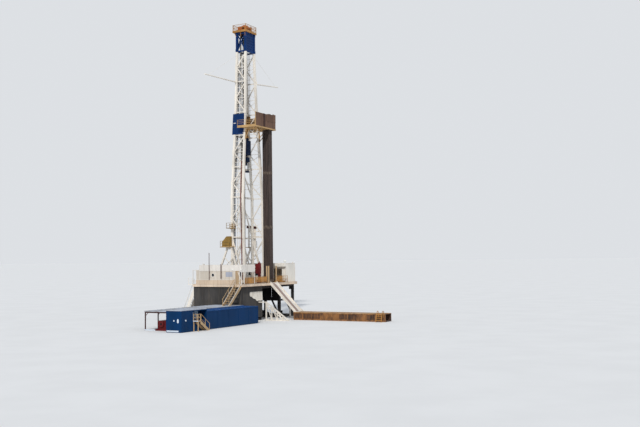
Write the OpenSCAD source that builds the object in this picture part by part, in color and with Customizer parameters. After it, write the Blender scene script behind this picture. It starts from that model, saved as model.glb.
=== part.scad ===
// Land drilling rig with its mast up, half real size, all sizes in millimetres.
// Origin: middle of the whole footprint on the ground. +X is the ramp and catwalk side,
// +Y the side away from the driller's house, Z is up. Sub-parts are drawn around the well.

/* [Floor and substructure] */

// Height of the drill floor above the ground
floor_z = 3050; // [2600:10:3600]
// Rear edge of the drill floor, behind the well
floor_back = 2300; // [2100:10:2700]
// Front edge of the drill floor, at the ramp
floor_front = 2500; // [2400:10:2900]
// Driller's side edge of the drill floor
floor_near = 4950; // [4700:10:5400]
// Far side edge of the drill floor
floor_far = 4050; // [3900:10:4600]
// Depth of the deck and its edge beam
deck_t = 220; // [160:10:300]
// Diameter of the rotary opening
rotary_bore = 476; // [300:2:500]
// Width of the substructure columns and chords
col_w = 200; // [140:10:240]

/* [Mast] */

// Distance between the leg centre lines at the floor, along Y
mast_base_w = 3150; // [2900:10:3300]
// Depth between front and rear leg centre lines at the floor
mast_base_d = 1200; // [1100:10:1400]
// Distance between the leg centre lines at the racking level, along Y
mast_mid_w = 1880; // [1760:10:2100]
// Distance between the leg centre lines at the top, along Y
mast_top_w = 1330; // [1240:10:1500]
// Depth between the leg centre lines at the top
mast_top_d = 860; // [820:10:1100]
// Height of the white mast above the floor
mast_h = 19950; // [18000:50:20500]
// Height of the blue top section
top_h = 1700; // [1400:10:2000]
// Width of a mast leg
leg_w = 180; // [140:5:200]
// Width of the mast braces
brace_w = 84; // [60:2:100]

/* [Racking board and pipe] */

// Height of the racking board above the floor
board_h = 13300; // [12900:10:13700]
// Diameter of a drill pipe
pipe_d = 64; // [50:2:76]
// Stands in one row
pipe_rows = 8; // [4:1:8]

/* [Houses] */

// Height of the driller's house above the floor
doghouse_h = 1500; // [1400:5:1700]
// Height of the far side house above the floor
far_house_h = 1600; // [1450:5:1700]
// Wall thickness of the houses
wall_t = 50; // [40:5:80]
// Height of the long blue building
blue_h = 1315; // [1200:5:1450]
// Length of the long blue building
blue_l = 10000; // [9600:50:11000]

/* [Ramp and catwalk] */

// Length of the catwalk
catwalk_l = 8300; // [7000:50:9500]
// Height of the catwalk
catwalk_h = 650; // [560:10:760]
// Width of the ramp
ramp_w = 1060; // [800:10:1200]

/* [Output] */

// Which sub-part to build

/* [Hidden] */

$fn = 24;
// seating clearance between separate pieces
seat = 0.3;

deck_u = floor_z - deck_t;
// truss planes of the substructure, centre lines
in_y = mast_base_w / 2 + 25;
near_y = floor_near - 250;
far_y = floor_far - 150;
back_x = floor_back - 100;
front_x = floor_front - 300;
truss_xs = [-back_x + col_w / 2, -700, 700, front_x - col_w / 2];
strut_y = in_y + 350;
strut_z = 1500;
strut_x = front_x + 750;

// mast lines; the levels of the bracing stand in fixed parts of the height
levels = [for (i = [0, 76, 144, 196, 251, 291, 345, 399]) i * mast_h / 399];
kink = levels[2];
mid_h = levels[5];
a_frame_y = mast_base_w / 2 + 255;
a_frame_h = 2945;
housing_h = 1680;
xr = -mast_base_d / 2;
// the well and the travelling gear stand in the middle of the mast's top
well_x = xr + mast_top_d / 2;
sheave_r = 300;
rail_h = 550;
rail_w = 26;

// racking board: half width and front edge
board_y = 1650;
board_x = 1850;
pipe_pitch = 90;
pipe_y0 = 900;
pipe_x0 = 1000;
blue_x0 = 2750;
blue_x1 = 4050;
pole_y1 = 4650;
blue_y1 = -5000;
blue_y0 = blue_y1 - blue_l;
blue_split = blue_y0 + 3050;
porch_y0 = blue_y0 + 1350;
porch_y1 = blue_y0 + 3050;
porch_z = 760;
porch_x = 3450;
door_w = 450;
porch_top = blue_h + 120;
door_h = porch_top - porch_z - 25;
door_x = porch_x + 20;
door_y = porch_y0 + 1000;
shed_z = 1400;
shed_x0 = 0;
shed_x1 = blue_x0 - seat;
shed_y0 = -14000;
shed_y1 = -5060;

// the well stands at this offset from the middle of the whole footprint
catwalk_x0 = 4750;
stair_run = 1450;
rear_stair_y = floor_near - 650;

// driller's house
dog_x0 = -1600;
dog_x1 = 1500;
dog_y1 = -floor_near + 1300;
mid_x = (catwalk_x0 + catwalk_l - floor_back - stair_run) / 2;
mid_y = (blue_y0 + pole_y1) / 2;

white = [0.90, 0.88, 0.84];
blue = [0.02, 0.21, 0.42];
yellow = [0.82, 0.60, 0.16];
tan_c = [0.78, 0.66, 0.46];
steel = [0.45, 0.44, 0.42];
dark = [0.25, 0.25, 0.26];
rust = [0.36, 0.24, 0.18];
red = [0.52, 0.12, 0.10];

// mast half width at a height above the floor: upright, then two tapers
function hw(h) = h <= kink ? mast_base_w / 2
    : h <= mid_h ? mast_base_w / 2 - (mast_base_w - mast_mid_w) / 2 * (h - kink) / (mid_h - kink)
    : mast_mid_w / 2 - (mast_mid_w - mast_top_w) / 2 * (h - mid_h) / (mast_h - mid_h);
// x of the front legs, which lean back towards the rear legs
function xf(h) = xr + mast_base_d + (mast_top_d - mast_base_d) * h / mast_h;
// point on a leg centre line: s is the side, f is 1 in front and -1 behind
function leg_p(s, f, h) = [f > 0 ? xf(h) : xr, s * hw(h), floor_z + h];

// Moves a sub-part from the well's coordinates to those of the whole footprint
module placed()
{
    translate([-mid_x, -mid_y, 0])
        children();
}

// Straight bar between two points; w runs near X, d near Y
module bar(p, q, w, d)
{
    v = q - p;
    l = norm(v);
    translate(p)
        rotate([-asin(v[1] / l), atan2(v[0], v[2]), 0])
            translate([-w / 2, -d / 2, 0])
                cube([w, d, l]);
}

// Box between two corners
module box(a, b)
{
    translate(a)
        cube(b - a);
}

// Box on side s of the middle plane, y given as distances from that plane
module side_box(s, x0, x1, y0, y1, z0, z1)
{
    box([x0, min(s * y0, s * y1), z0], [x1, max(s * y0, s * y1), z1]);
}

// Round rod between two points
module rod(p, q, r, n = 12)
{
    v = q - p;
    l = norm(v);
    translate(p)
        rotate([-asin(v[1] / l), atan2(v[0], v[2]), 0])
            cylinder(r = r, h = l, $fn = n);
}

// Guard rail along a line: posts, top rail and knee rail
module rail(p, q, h = rail_h, gap = 900, w = rail_w, toe = 0)
{
    v = q - p;
    l = norm(v);
    n = max(1, round(l / gap));
    for (i = [0:n])
        translate(p + v * i / n + [-w / 2, -w / 2, 0])
            cube([w, w, h]);
    for (z = [h - w / 2, h / 2])
        bar(p + [0, 0, z] - v / l * w / 2, q + [0, 0, z] + v / l * w / 2, w - 2, w - 2);
    if (toe > 0)
        bar(p + [0, 0, toe / 2], q + [0, 0, toe / 2], abs(v[2]) > abs(v[1]) + abs(v[0]) ? 8 : toe, 8);
}

// Substructure

// One upright truss in a plane of constant y
module sub_truss(y)
{
    xs = truss_xs;
    box([-back_x, y - col_w / 2, 0], [front_x, y + col_w / 2, col_w]);
    box([-back_x, y - col_w / 2, deck_u - col_w], [front_x, y + col_w / 2, deck_u]);
    for (x = xs)
        box([x - col_w / 2, y - col_w / 2, 0], [x + col_w / 2, y + col_w / 2, deck_u]);
    bar([xs[0], y, col_w / 2], [xs[1], y, deck_u - col_w / 2], 110, 110);
    bar([xs[3], y, col_w / 2], [xs[2], y, deck_u - col_w / 2], 110, 110);
}

module substructure_trusses()
{
    color(dark)
        for (y = [-near_y, -in_y, in_y, far_y])
            sub_truss(y);
}

// Members between the trusses, each seated between two truss faces
module substructure_cross_beams()
{
    g = col_w / 2 + seat;
    color(dark)
    {
        for (p = [[-near_y, -in_y], [in_y, far_y]])
        {
            for (x = truss_xs)
            {
                box([x - 80, p[0] + g, 20], [x + 80, p[1] - g, col_w - 20]);
                box([x - 80, p[0] + g, deck_u - col_w + 20], [x + 80, p[1] - g, deck_u - 10]);
            }
            box([front_x - col_w + 10, p[0] + g, strut_z - 60], [front_x - 10, p[1] - g, strut_z + 80]);
        }
        for (x = truss_xs)
            box([x - 70, -in_y + g, deck_u - 240], [x + 70, in_y - g, deck_u - seat]);
        box([truss_xs[0] - 70, -in_y + g, 10], [truss_xs[0] + 70, in_y - g, 170]);
    }
}

// Floor

module floor_deck()
{
    color(tan_c)
        difference()
        {
            box([-floor_back, -floor_near, deck_u], [floor_front, floor_far, floor_z]);
            translate([well_x, 0, deck_u - 1])
                cylinder(d = 960, h = deck_t + 2, $fn = 36);
        }
}

module rotary_table()
{
    color(steel)
        translate([well_x, 0, 0])
            difference()
            {
                union()
                {
                    translate([0, 0, deck_u + 10])
                        cylinder(d = 960 - 4 * seat, h = deck_t - 10, $fn = 36);
                    translate([0, 0, floor_z + seat])
                        cylinder(d = 1100, h = 30, $fn = 36);
                    translate([0, 0, floor_z - 5])
                        cylinder(d = 900, h = 60, $fn = 36);
                }
                translate([0, 0, deck_u - 10])
                    cylinder(d = rotary_bore, h = deck_t + 200, $fn = 48);
            }
}

// Wind walls under the floor

// Folded sheet seen from above, running along x, extruded upwards
module folded_sheet(l, h, pitch = 160, a = 24, t = 10)
{
    n = round(l / pitch);
    p = l / n;
    top = [for (i = [0:2 * n]) [i * p / 2, (i % 2) * a + t]];
    bot = [for (i = [2 * n:-1:0]) [i * p / 2, (i % 2) * a]];
    linear_extrude(height = h)
        polygon(concat(top, bot));
}

module floor_windwalls()
{
    front_l = near_y - in_y + 280;
    color(dark)
    {
        // driller's side
        translate([-floor_back + 30, -near_y - col_w / 2 - 34 - seat, 260])
            folded_sheet(floor_back + floor_front - 120, deck_u - 260 - 2);
        // front, with a cut-out for the brace that passes through
        difference()
        {
            translate([front_x + 34 + seat, -near_y - 90, 260])
                rotate([0, 0, 90])
                    folded_sheet(front_l, deck_u - 260 - 2);
            box([front_x - 50, -strut_y - 50, strut_z - 55], [front_x + 100, -strut_y + 50, strut_z + 45]);
        }
        // back of the well bay
        translate([-back_x - seat, -in_y - 90, 900])
            rotate([0, 0, 90])
                folded_sheet(2 * in_y + 180, deck_u - 900 - 2);
    }
}

module white_tarp()
{
    x = front_x + 34 + 2 * seat;
    // ragged lower edge, in steps of y from the inner end
    y1 = -near_y - 90 + near_y - in_y + 270;
    drops = [1640, 1590, 1620, 1580, 1760, 1830, 1960, 2040];
    color(white)
        translate([x, 0, 0])
            rotate([90, 0, 90])
                linear_extrude(height = 8)
                    polygon(concat([[y1 - 1930, 2380], [y1, 2380]],
                                   [for (i = [0:7]) [y1 - i * 1930 / 7, drops[i]]]));
}

// Braces in front of the substructure

module front_strut(y)
{
    x1 = strut_x;
    x2 = catwalk_x0 + 300;
    zt = strut_z;
    w = 90;
    // slanted top chord, foot chord and post
    bar([x1, y, zt], [x2, y, 50], w, w - 8);
    box([x1 - w / 2, y - w / 2, 0], [x2 + 60, y + w / 2, w]);
    box([x1 - w / 2, y - w / 2, 0], [x1 + w / 2, y + w / 2, zt + w / 2]);
    for (i = [1:3])
    {
        xa = x1 + (x2 - x1) * i / 4;
        za = zt + (50 - zt) * i / 4;
        box([xa - 30, y - 30, 20], [xa + 30, y + 30, za]);
        bar([xa, y, 45], [x1 + (x2 - x1) * (i - 1) / 4, y, zt + (50 - zt) * (i - 1) / 4], 56, 56);
    }
}

module front_struts()
{
    color(white)
        for (s = [-1, 1])
        {
            front_strut(s * strut_y);
            // stubs to the front frame of the trusses
            side_box(s, front_x - 10 + seat, strut_x, strut_y - 40, strut_y + 40, strut_z - 45, strut_z + 35);
        }
}

// Stairs

// Stair going down from p over run (horizontal) and drop, heading along +x of its own frame
module stair(run, drop, w, n, rails = true, sw = 20, sh = 150)
{
    l = norm([run, drop]);
    a = atan2(drop, run);
    for (s = [-1, 1])
    {
        difference()
        {
            translate([0, s * w / 2 - sw / 2, 0])
                rotate([0, a, 0])
                    translate([-sh, 0, -sh])
                        cube([l + 2 * sh, sw, sh]);
            box([-600, -w, -drop - 600], [0, w, 600]);
            box([-600, -w, -drop - 700], [run + 600, w, -drop]);
        }
        if (rails)
        {
            bar([60, s * (w / 2), 440], [run - 60, s * (w / 2), -drop + 480], 26, 26);
            for (t = [0.04, 0.5, 0.94])
                box([run * t - 13, s * (w / 2) - 12, max(-drop, -drop * t - 60)],
                    [run * t + 13, s * (w / 2) + 12, -drop * t + 480]);
        }
    }
    // treads, each seated between the side plates
    for (i = [1:n - 1])
        box([run * i / n - 75, -w / 2 + sw / 2 + seat, -drop * i / n - 20],
            [run * i / n + 75, w / 2 - sw / 2 - seat, -drop * i / n]);
}

module rear_stair()
{
    z = floor_z - 30;
    x = -floor_back;
    y0 = -floor_near;
    y1 = -rear_stair_y - 340;
    color(white)
    {
        translate([x - seat, -rear_stair_y, z])
            rotate([0, 0, 180])
                stair(stair_run, z, 620, 14, true, 26, 300);
        // small railed landing beside the head of the stair
        box([x - 450, y0, floor_z - 70], [x - seat, y1, floor_z]);
        rail([x - 430, y0 + 20, floor_z + seat], [x - 60, y0 + 20, floor_z + seat], 520);
    }
}

module floor_stair()
{
    color(tan_c)
        translate([floor_front - 362, -floor_near - seat, floor_z - 20])
            rotate([0, 0, -90])
                stair(1850, floor_z - 20 - shed_z - seat, 590, 9, true, 26, 230);
}

// Mast

// Leg between two heights, cut level at both ends
module leg(s, f, h0, h1, grow = 0)
{
    p = leg_p(s, f, h0);
    q = leg_p(s, f, h1);
    v = q - p;
    intersection()
    {
        bar(p - v * 0.05, q + v * 0.05, leg_w + grow, leg_w + grow);
        box([-2000, -3000, floor_z + h0], [2000, 3000, floor_z + h1]);
    }
}

// Splice collar round a leg where the taper changes
module collar(s, f, grow = 0)
{
    p = leg_p(s, f, mid_h);
    w = leg_w / 2 + 15 + grow;
    box(p + [-w, -w, -5 - grow], p + [w, w, 55 + grow]);
}

// Braced side of the mast between two levels of the list
module mast_side(s, i0, i1)
{
    for (f = [-1, 1])
    {
        if (i0 == 0)
            leg(s, f, 0, kink);
        else
        {
            leg(s, f, kink, mid_h);
            leg(s, f, mid_h, mast_h);
            collar(s, f);
        }
    }
    for (i = [i0:i1 - 1])
    {
        a = levels[i];
        b = levels[i + 1];
        // the last bay ends below the joint of the sections
        t = i == i1 - 1 ? -90 : 20;
        // level bar at the foot of the bay
        bar(leg_p(s, -1, a + 90), leg_p(s, 1, a + 90), brace_w, brace_w);
        if (i == 0)
        {
            bar(leg_p(s, -1, b - 60), leg_p(s, 1, 160), brace_w + 20, brace_w + 6);
            bar(leg_p(s, 1, b - 60), leg_p(s, -1, b * 0.52), brace_w - 8, brace_w - 8);
        }
        else
        {
            bar(leg_p(s, 1, a + 120), leg_p(s, -1, (a + b) / 2), brace_w - 8, brace_w - 8);
            bar(leg_p(s, 1, b + t), leg_p(s, -1, (a + b) / 2), brace_w - 8, brace_w - 8);
        }
    }
}

module mast_sides_lower()
{
    color(white)
        for (s = [-1, 1])
        {
            mast_side(s, 0, 2);
            // shoes on the floor
            for (f = [-1, 1])
                box(leg_p(s, f, 0) + [-150, -140, seat], leg_p(s, f, 0) + [150, 140, 140]);
        }
}

module mast_sides_upper()
{
    color(white)
        for (s = [-1, 1])
            translate([0, 0, seat])
                mast_side(s, 2, 7);
}

// Back face between two levels: level bars and crossing diagonals, cut clear of the legs
module mast_back(i0, i1)
{
    difference()
    {
        for (i = [i0:i1 - 1])
        {
            a = levels[i];
            b = levels[i + 1];
            o = i == 0 ? 215 : i == i0 ? 160 : 0;
            bar(leg_p(-1, -1, a + o), leg_p(1, -1, a + o), brace_w + 16, brace_w + 16);
            bar(leg_p(-1, -1, a + o), leg_p(0, -1, b - 20), brace_w - 4, brace_w - 4);
            bar(leg_p(1, -1, a + o), leg_p(0, -1, b - 20), brace_w - 4, brace_w - 4);
        }
        for (s = [-1, 1])
        {
            leg(s, -1, max(levels[i0] - 10, 0), kink, 2 * seat);
            leg(s, -1, kink, mid_h, 2 * seat);
            leg(s, -1, mid_h, mast_h, 2 * seat);
            collar(s, -1, seat);
        }
    }
}

module mast_back_lower()
{
    color(white)
        mast_back(0, 2);
}

module mast_back_upper()
{
    color(white)
        mast_back(2, 7);
}

module mast_top_section()
{
    z0 = floor_z + mast_h + 2 * seat;
    z1 = z0 + top_h;
    y = mast_top_w / 2;
    x0 = xr;
    x1 = xf(mast_h);
    w = leg_w;
    yi = y - w / 2 - seat;
    color(blue)
    {
        // side frames
        for (s = [-1, 1])
        {
            for (x = [x0, x1])
                box([x - w / 2, s * y - w / 2, z0], [x + w / 2, s * y + w / 2, z1]);
            box([x0, s * y - 60, z0], [x1, s * y + 60, z0 + 120]);
            box([x0, s * y - 60, z1 - 160], [x1, s * y + 60, z1]);
            bar([x0, s * y, z0 + 60], [x1, s * y, z1 - 80], 76, 76);
            bar([x1, s * y, z0 + 60], [x0, s * y, z1 - 80], 76, 76);
        }
        // plated front face between them
        box([x1 - 50, -yi, z0], [x1 + 50, yi, z0 + 130]);
        box([x1 - 50, -yi, z1 - 170], [x1 + 50, yi, z1]);
        box([x1 + 30, -yi, z0 + 5], [x1 + 42, yi, z1 - 5]);
        // braced rear face between them
        intersection()
        {
            union()
            {
                box([x0 - 50, -y, z0], [x0 + 50, y, z0 + 130]);
                box([x0 - 50, -y, z1 - 170], [x0 + 50, y, z1]);
                bar([x0, -y, z0 + 60], [x0, 0, z1 - 80], 76, 76);
                bar([x0, y, z0 + 60], [x0, 0, z1 - 80], 76, 76);
            }
            box([x0 - 100, -yi, z0], [x0 + 100, yi, z1]);
        }
    }
}

module racking_level_panel()
{
    h0 = board_h - 600;
    h1 = board_h + 1200;
    x = (xr + xf(h0) - leg_w) / 2 - 40;
    ym = -(hw(h0) + leg_w / 2 + 13);
    yt = -(hw(h1) + leg_w / 2 + 13);
    color(blue)
        bar([x, ym, floor_z + h0], [x, yt, floor_z + h1], mast_base_d - 60, 24);
}

// Crown

crown_z = floor_z + mast_h + top_h + 4 * seat;
fast_x = well_x - 500;
fast_r = 170;

module crown_platform()
{
    x0 = well_x - 780;
    x1 = well_x + 600;
    y = mast_top_w / 2 + 205;
    z = crown_z + 120 + seat;
    color(yellow)
    {
        difference()
        {
            box([x0, -y, crown_z], [x1, y, crown_z + 120]);
            box([well_x - 400, -300, crown_z - 1], [well_x + 400, 300, crown_z + 121]);
            // slots for the fast line and the dead line
            for (s = [-1, 1])
                side_box(s, fast_x - fast_r - 60, fast_x - fast_r + 20, 160, 240, crown_z - 1, crown_z + 121);
        }
        for (s = [-1, 1])
            rail([x0 + 60, s * (y - 30), z], [x1 - 60, s * (y - 30), z]);
        rail([x0 + 30, -y + 30, z], [x0 + 30, y - 30, z]);
        rail([x1 - 30, -y + 30, z], [x1 - 30, y - 30, z]);
    }
}

module crown_block()
{
    xc = well_x;
    z = crown_z + 440;
    color([0.75, 0.30, 0.10])
    {
        for (s = [-1, 1])
        {
            box([fast_x - 60, s * 340 - 25, crown_z + 120 + seat], [xc + 420, s * 340 + 25, crown_z + 620]);
            // small sheave for the line that leads down behind the mast
            rod([fast_x, s * 345, z], [fast_x, s * 180, z], 40, 16);
            translate([fast_x, s * 200 + 20, z])
                rotate([90, 0, 0])
                    cylinder(r = fast_r, h = 40, $fn = 24);
        }
        box([xc + 385, -340, crown_z + 120 + seat], [xc + 415, 340, crown_z + 260]);
        rod([xc, -350, z], [xc, 350, z], 50, 24);
        for (i = [-2:2])
            translate([xc, i * 100 + 30, z])
                rotate([90, 0, 0])
                    cylinder(r = sheave_r, h = 60, $fn = 24);
    }
}

// Mast fittings

module mast_ladder()
{
    // inside the driller's side of the mast, held off its level bars by brackets
    h0 = 60;
    h1 = mast_h - 300;
    off = 130;
    xs = [-160, 60];
    n = round((h1 - h0) / 330);
    hs = [h0, kink, mid_h, h1];
    color(white)
    {
        for (x = xs)
            for (i = [0:2])
                bar([x, -hw(hs[i]) + off, floor_z + hs[i] - (i > 0 ? 3 : 0)],
                    [x, -hw(hs[i + 1]) + off, floor_z + hs[i + 1] + (i < 2 ? 3 : 0)],
                    i == 1 ? 20 : 24, i == 1 ? 28 : 30);
        for (i = [1:6])
        {
            h = levels[i] + 90;
            for (x = xs)
                box([x - 16, -hw(h) + brace_w / 2 + seat, floor_z + h - 14], [x + 16, -hw(h) + off + 5, floor_z + h + 14]);
        }
        for (i = [1:n - 1])
        {
            h = h0 + (h1 - h0) * i / n;
            box([xs[0], -hw(h) + off - 8, floor_z + h - 8], [xs[1], -hw(h) + off + 8, floor_z + h + 8]);
        }
    }
}

module standpipe()
{
    off = 138;
    h1 = mast_h * 0.52;
    p = [xf(0) - off, -hw(0) - 150, floor_z + 250];
    q = [xf(kink) - off, -hw(kink) - 150, floor_z + kink];
    r = [xf(h1) - off, -hw(h1) - 150, floor_z + h1];
    color(rust)
    {
        rod(p, q, 42, 12);
        rod(q, r, 42, 12);
        translate(q)
            sphere(r = 46, $fn = 16);
        // clamps to the front leg
        for (t = [0.06, 0.29, 0.52, 0.75, 0.96])
        {
            h = h1 * t;
            box([xf(h) - off - 20, -hw(h) - 150, floor_z + h - 8],
                [xf(h) - 60, -hw(h) - leg_w / 2 - 0.6 - 2 * seat, floor_z + h + 8]);
        }
    }
}

// Racking board and pipe

module racking_board()
{
    z = floor_z + board_h;
    x0 = xf(board_h - 110) + leg_w * 0.503 + seat;
    yi = board_y - 80 - seat;
    color(yellow)
    {
        // side arms with the walkways and outriggers beside the mast
        for (s = [-1, 1])
        {
            xa = s < 0 ? -20 : -850;
            side_box(s, xa, board_x, board_y - 80, board_y, z - 110, z);
            side_box(s, xa + 5, x0, hw(board_h - 60) + leg_w / 2 + 26, board_y - 60, z - 60, z - 30);
            side_box(s, xf(board_h) - 20, xf(board_h) + 80, hw(board_h - 105) + leg_w * 0.504 + seat,
                     board_y - 70, z - 105, z - 25);
            if (s > 0)
                side_box(s, xr - 50, xr + 50, hw(board_h - 105) + leg_w * 0.504 + seat, board_y - 70, z - 105, z - 25);
        }
        // board in front of the mast: beams, walkway in the middle and fingers on both sides
        box([board_x - 80, -yi, z - 105], [board_x, yi, z]);
        box([x0 + 4, -yi, z - 100], [x0 + 84, yi, z - 20]);
        box([x0 + 40, -170, z - 60], [board_x - 40, 170, z - 30]);
        for (i = [0:pipe_rows])
            for (s = [-1, 1])
                side_box(s, pipe_x0 + (i - 0.5) * pipe_pitch - 8, pipe_x0 + (i - 0.5) * pipe_pitch + 8,
                         150, yi, z - 90, z - 40);
        // rails of the open side
        rail([0, -board_y + 40, z + seat], [board_x - 110, -board_y + 40, z + seat], 560, 700);
    }
}

// Wind walls of the racking board, on the front and on the side away from the driller
module racking_windwall()
{
    z = floor_z + board_h + seat;
    h = 1130;
    color(rust)
    {
        side_box(1, -840, board_x - 20, board_y - 26, board_y - 10, z, z + h);
        box([board_x - 26, -board_y + 10, z], [board_x - 10, board_y - 40, z + h]);
        for (y = [-board_y + 10, -550, 550, board_y - 90])
            box([board_x - 60, y, z], [board_x - 26 - seat, y + 40, z + h]);
    }
}

module pipe_stands()
{
    color(rust)
        for (i = [0:pipe_rows - 1])
            for (j = [0:5])
            {
                p = [pipe_x0 + i * pipe_pitch, pipe_y0 + j * pipe_pitch, floor_z + seat];
                q = [pipe_x0 + i * pipe_pitch, pipe_y0 - 60 + j * pipe_pitch, floor_z + board_h + 900];
                rod(p, q, pipe_d / 2, 8);
            }
}

module mast_poles()
{
    h = levels[6] + 50;
    poles = [[-1, -1, [xr - 40, -5450, floor_z + h - 90]], [1, 1, [xf(h), pole_y1, floor_z + h + 360]]];
    color(white)
        difference()
        {
            for (p = poles)
            {
                rod(leg_p(p[0], p[1], h), p[2], 55, 10);
                // stay from the head of the mast
                rod(leg_p(p[0], p[1], mast_h - 250), leg_p(p[0], p[1], h) * 0.1 + p[2] * 0.9, 8, 6);
            }
            for (p = poles)
            {
                leg(p[0], p[1], mid_h, mast_h, 2 * seat);
            }
        }
}

// Rear frames that raise and hold the mast

module a_frames()
{
    y = a_frame_y;
    zt = floor_z + a_frame_h;
    color(white)
        for (s = [-1, 1])
        {
            bar([-950, s * y, zt], [-2160, s * y, floor_z + seat + 60], 130, 120);
            bar([-560, s * y, zt], [420, s * y, floor_z + seat + 60], 130, 120);
            box([-1060, s * y - 75, zt - 90], [-450, s * y + 75, zt + 80]);
            box([-1620, s * y - 40, floor_z + 1300], [-60, s * y + 40, floor_z + 1380]);
            for (x = [-2160, 420])
                box([x - 95, s * y - 100, floor_z + seat], [x + 120, s * y + 100, floor_z + 90]);
        }
}

module service_platforms()
{
    y = a_frame_y;
    zt = floor_z + a_frame_h + 80 + seat;
    z2 = floor_z + a_frame_h + housing_h;
    ym = hw(0) + leg_w / 2 + seat;
    color(yellow)
    {
        for (s = [-1, 1])
        {
            side_box(s, -1450, -500, y - 110, y + 400, zt, zt + 50);
            rail([-1420, s * (y + 370), zt + 50 + seat], [-530, s * (y + 370), zt + 50 + seat], 500);
        }
        // housing on the driller's side platform, sloped at the back
        translate([0, -y + 90, zt + 50 + seat])
            rotate([90, 0, 0])
                linear_extrude(height = 300)
                    polygon([[-1360, 0], [-560, 0], [-560, 880], [-900, 880], [-1360, 420]]);
        // small railed platform on the driller's side of the mast
        side_box(-1, -900, -200, ym, ym + 420, z2, z2 + 50);
        rail([-880, -(ym + 400), z2 + 50 + seat], [-220, -(ym + 400), z2 + 50 + seat], 420);
    }
}

drum_z = 560;
drum_r = 230;

module drawworks()
{
    z = floor_z;
    color(blue)
    {
        box([-2150, -700, z + seat], [-1050, 700, z + 140]);
        for (s = [-1, 1])
            side_box(s, -2150, -1050, 560, 700, z + 100, z + 900);
        rod([-1600, -600, z + drum_z], [-1600, 600, z + drum_z], drum_r, 32);
        // anchor of the dead line
        box([-1010, -370, z + seat], [-850, -230, z + 220]);
    }
}

// Travelling gear

tb_z = floor_z + mast_h * 0.662;

module travelling_block()
{
    z = tb_z;
    w = sheave_r - 20;
    color(yellow)
        translate([well_x, 0, 0])
        {
            for (s = [-1, 1])
                box([-w, s * 265 - 20, z], [w, s * 265 + 20, z + 1200]);
            box([-200, -260, z], [200, 260, z + 160]);
            box([-200, -260, z + 1080], [200, 260, z + 1160]);
            for (i = [-2:2])
                translate([0, i * 100 + 25, z + 640])
                    rotate([90, 0, 0])
                        cylinder(r = sheave_r, h = 50, $fn = 24);
            rod([0, -295, z + 640], [0, 295, z + 640], 60, 24);
            rod([0, 0, z - 700], [0, 0, z + 60], 90, 16);
            box([-110, -260, z - 700], [110, 260, z - 520]);
        }
}

module top_drive()
{
    z = tb_z - 700 - seat;
    body = 1500;
    w = 270;
    color(steel)
    {
        translate([well_x, 0, 0])
        {
            box([-w, -330, z - body], [w, 330, z - 250]);
            rod([0, 0, z - 260], [0, 0, z], 100, 16);
            rod([0, 0, z - body - 900], [0, 0, z - body + 10], 80, 16);
            box([-210, -230, z - body - 600], [210, 230, z - body - 200]);
            for (s = [-1, 1])
                box([-40, s * 280 - 25, z - body - 1400], [40, s * 280 + 25, z - body + 10]);
            box([-120, -305, z - body - 1500], [120, 305, z - body - 1360]);
        }
        box([xr + 140, -300, z - body + 200], [well_x - w + 10, 300, z - 500]);
    }
}

module guide_rails()
{
    color(steel)
        for (s = [-1, 1])
            box([xr + 50 + seat, s * 260 - 30, floor_z + 800], [xr + 120, s * 260 + 30, floor_z + mast_h + top_h - 200]);
}

module drilling_lines()
{
    z0 = tb_z + 640;
    z1 = crown_z + 440;
    x = sheave_r + 9 + seat;
    color(dark)
        for (i = [-2:2])
            for (s = [-1, 1])
                rod([well_x + s * x, i * 100, z0], [well_x + s * x, i * 100, z1], 9, 6);
}

// Line to the drum and line to the anchor, both down behind the mast
module fast_and_dead_lines()
{
    x = fast_x - fast_r - 9 - seat;
    z = crown_z + 440;
    color(dark)
    {
        rod([x, 200, z], [-1600 + drum_r + 9 + seat, 300, floor_z + drum_z], 9, 6);
        rod([x, -200, z], [-930, -300, floor_z + 220 + seat], 9, 6);
    }
}

// Driller's house and canopies

module doghouse_walls()
{
    x0 = dog_x0;
    x1 = dog_x1;
    y0 = -floor_near;
    y1 = dog_y1;
    z = floor_z + seat;
    color(white)
        difference()
        {
            box([x0, y0, z], [x1, y1, z + doghouse_h]);
            box([x0 + wall_t, y0 + wall_t, z - 1], [x1 - wall_t, y1 - wall_t, z + doghouse_h + 1]);
            // round window towards the yard
            translate([-275, y0 - 10, floor_z + doghouse_h * 0.49])
                rotate([-90, 0, 0])
                    cylinder(d = 250, h = wall_t + 20, $fn = 32);
            // doorways to both landings and windows to the floor
            box([x1 - wall_t - 5, y0 + 450, z - 1], [x1 + 5, y0 + 900, z + 1050]);
            box([x0 - 5, y0 + 450, z - 1], [x0 + wall_t + 5, y0 + 900, z + 1050]);
            box([-1400, y1 - wall_t - 5, z + 550], [-600, y1 + 5, z + 1150]);
            box([-300, y1 - wall_t - 5, z + 550], [900, y1 + 5, z + 1150]);
        }
}

module doghouse_roof()
{
    z = floor_z + doghouse_h + 2 * seat;
    x0 = dog_x1 + seat;
    x1 = floor_front;
    y0 = -floor_near;
    z2 = z - 330;
    xb = -floor_back;
    color(white)
    {
        // roof with a proud edge band towards the yard
        box([dog_x0 - 10, y0 - 22, z], [x1, dog_y1, z + 50]);
        box([dog_x0 - 10, y0 - 22, z - 430], [x1, y0 - 2 * seat, z + 10]);
        // roof and deep edge band over the landing
        box([dog_x1, dog_y1 - 10, z], [x1, dog_y1 + 700, z + 50]);
        box([x1 - 30, y0 - 10, z - 540], [x1, dog_y1 + 700, z + 10]);
        for (y = [y0 + 22, y0 + 450, dog_y1 + 660])
            box([x1 - 50, y - 22, floor_z + seat], [x1 - 6, y + 22, z + 10]);
        // open canopy at the head of the rear stair
        box([xb, y0, z2 - 50], [dog_x0 - seat, dog_y1, z2]);
        for (y = [y0, dog_y1 - 44])
            box([xb, y, floor_z + seat], [xb + 44, y + 44, z2 - 10]);
    }
}

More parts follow.
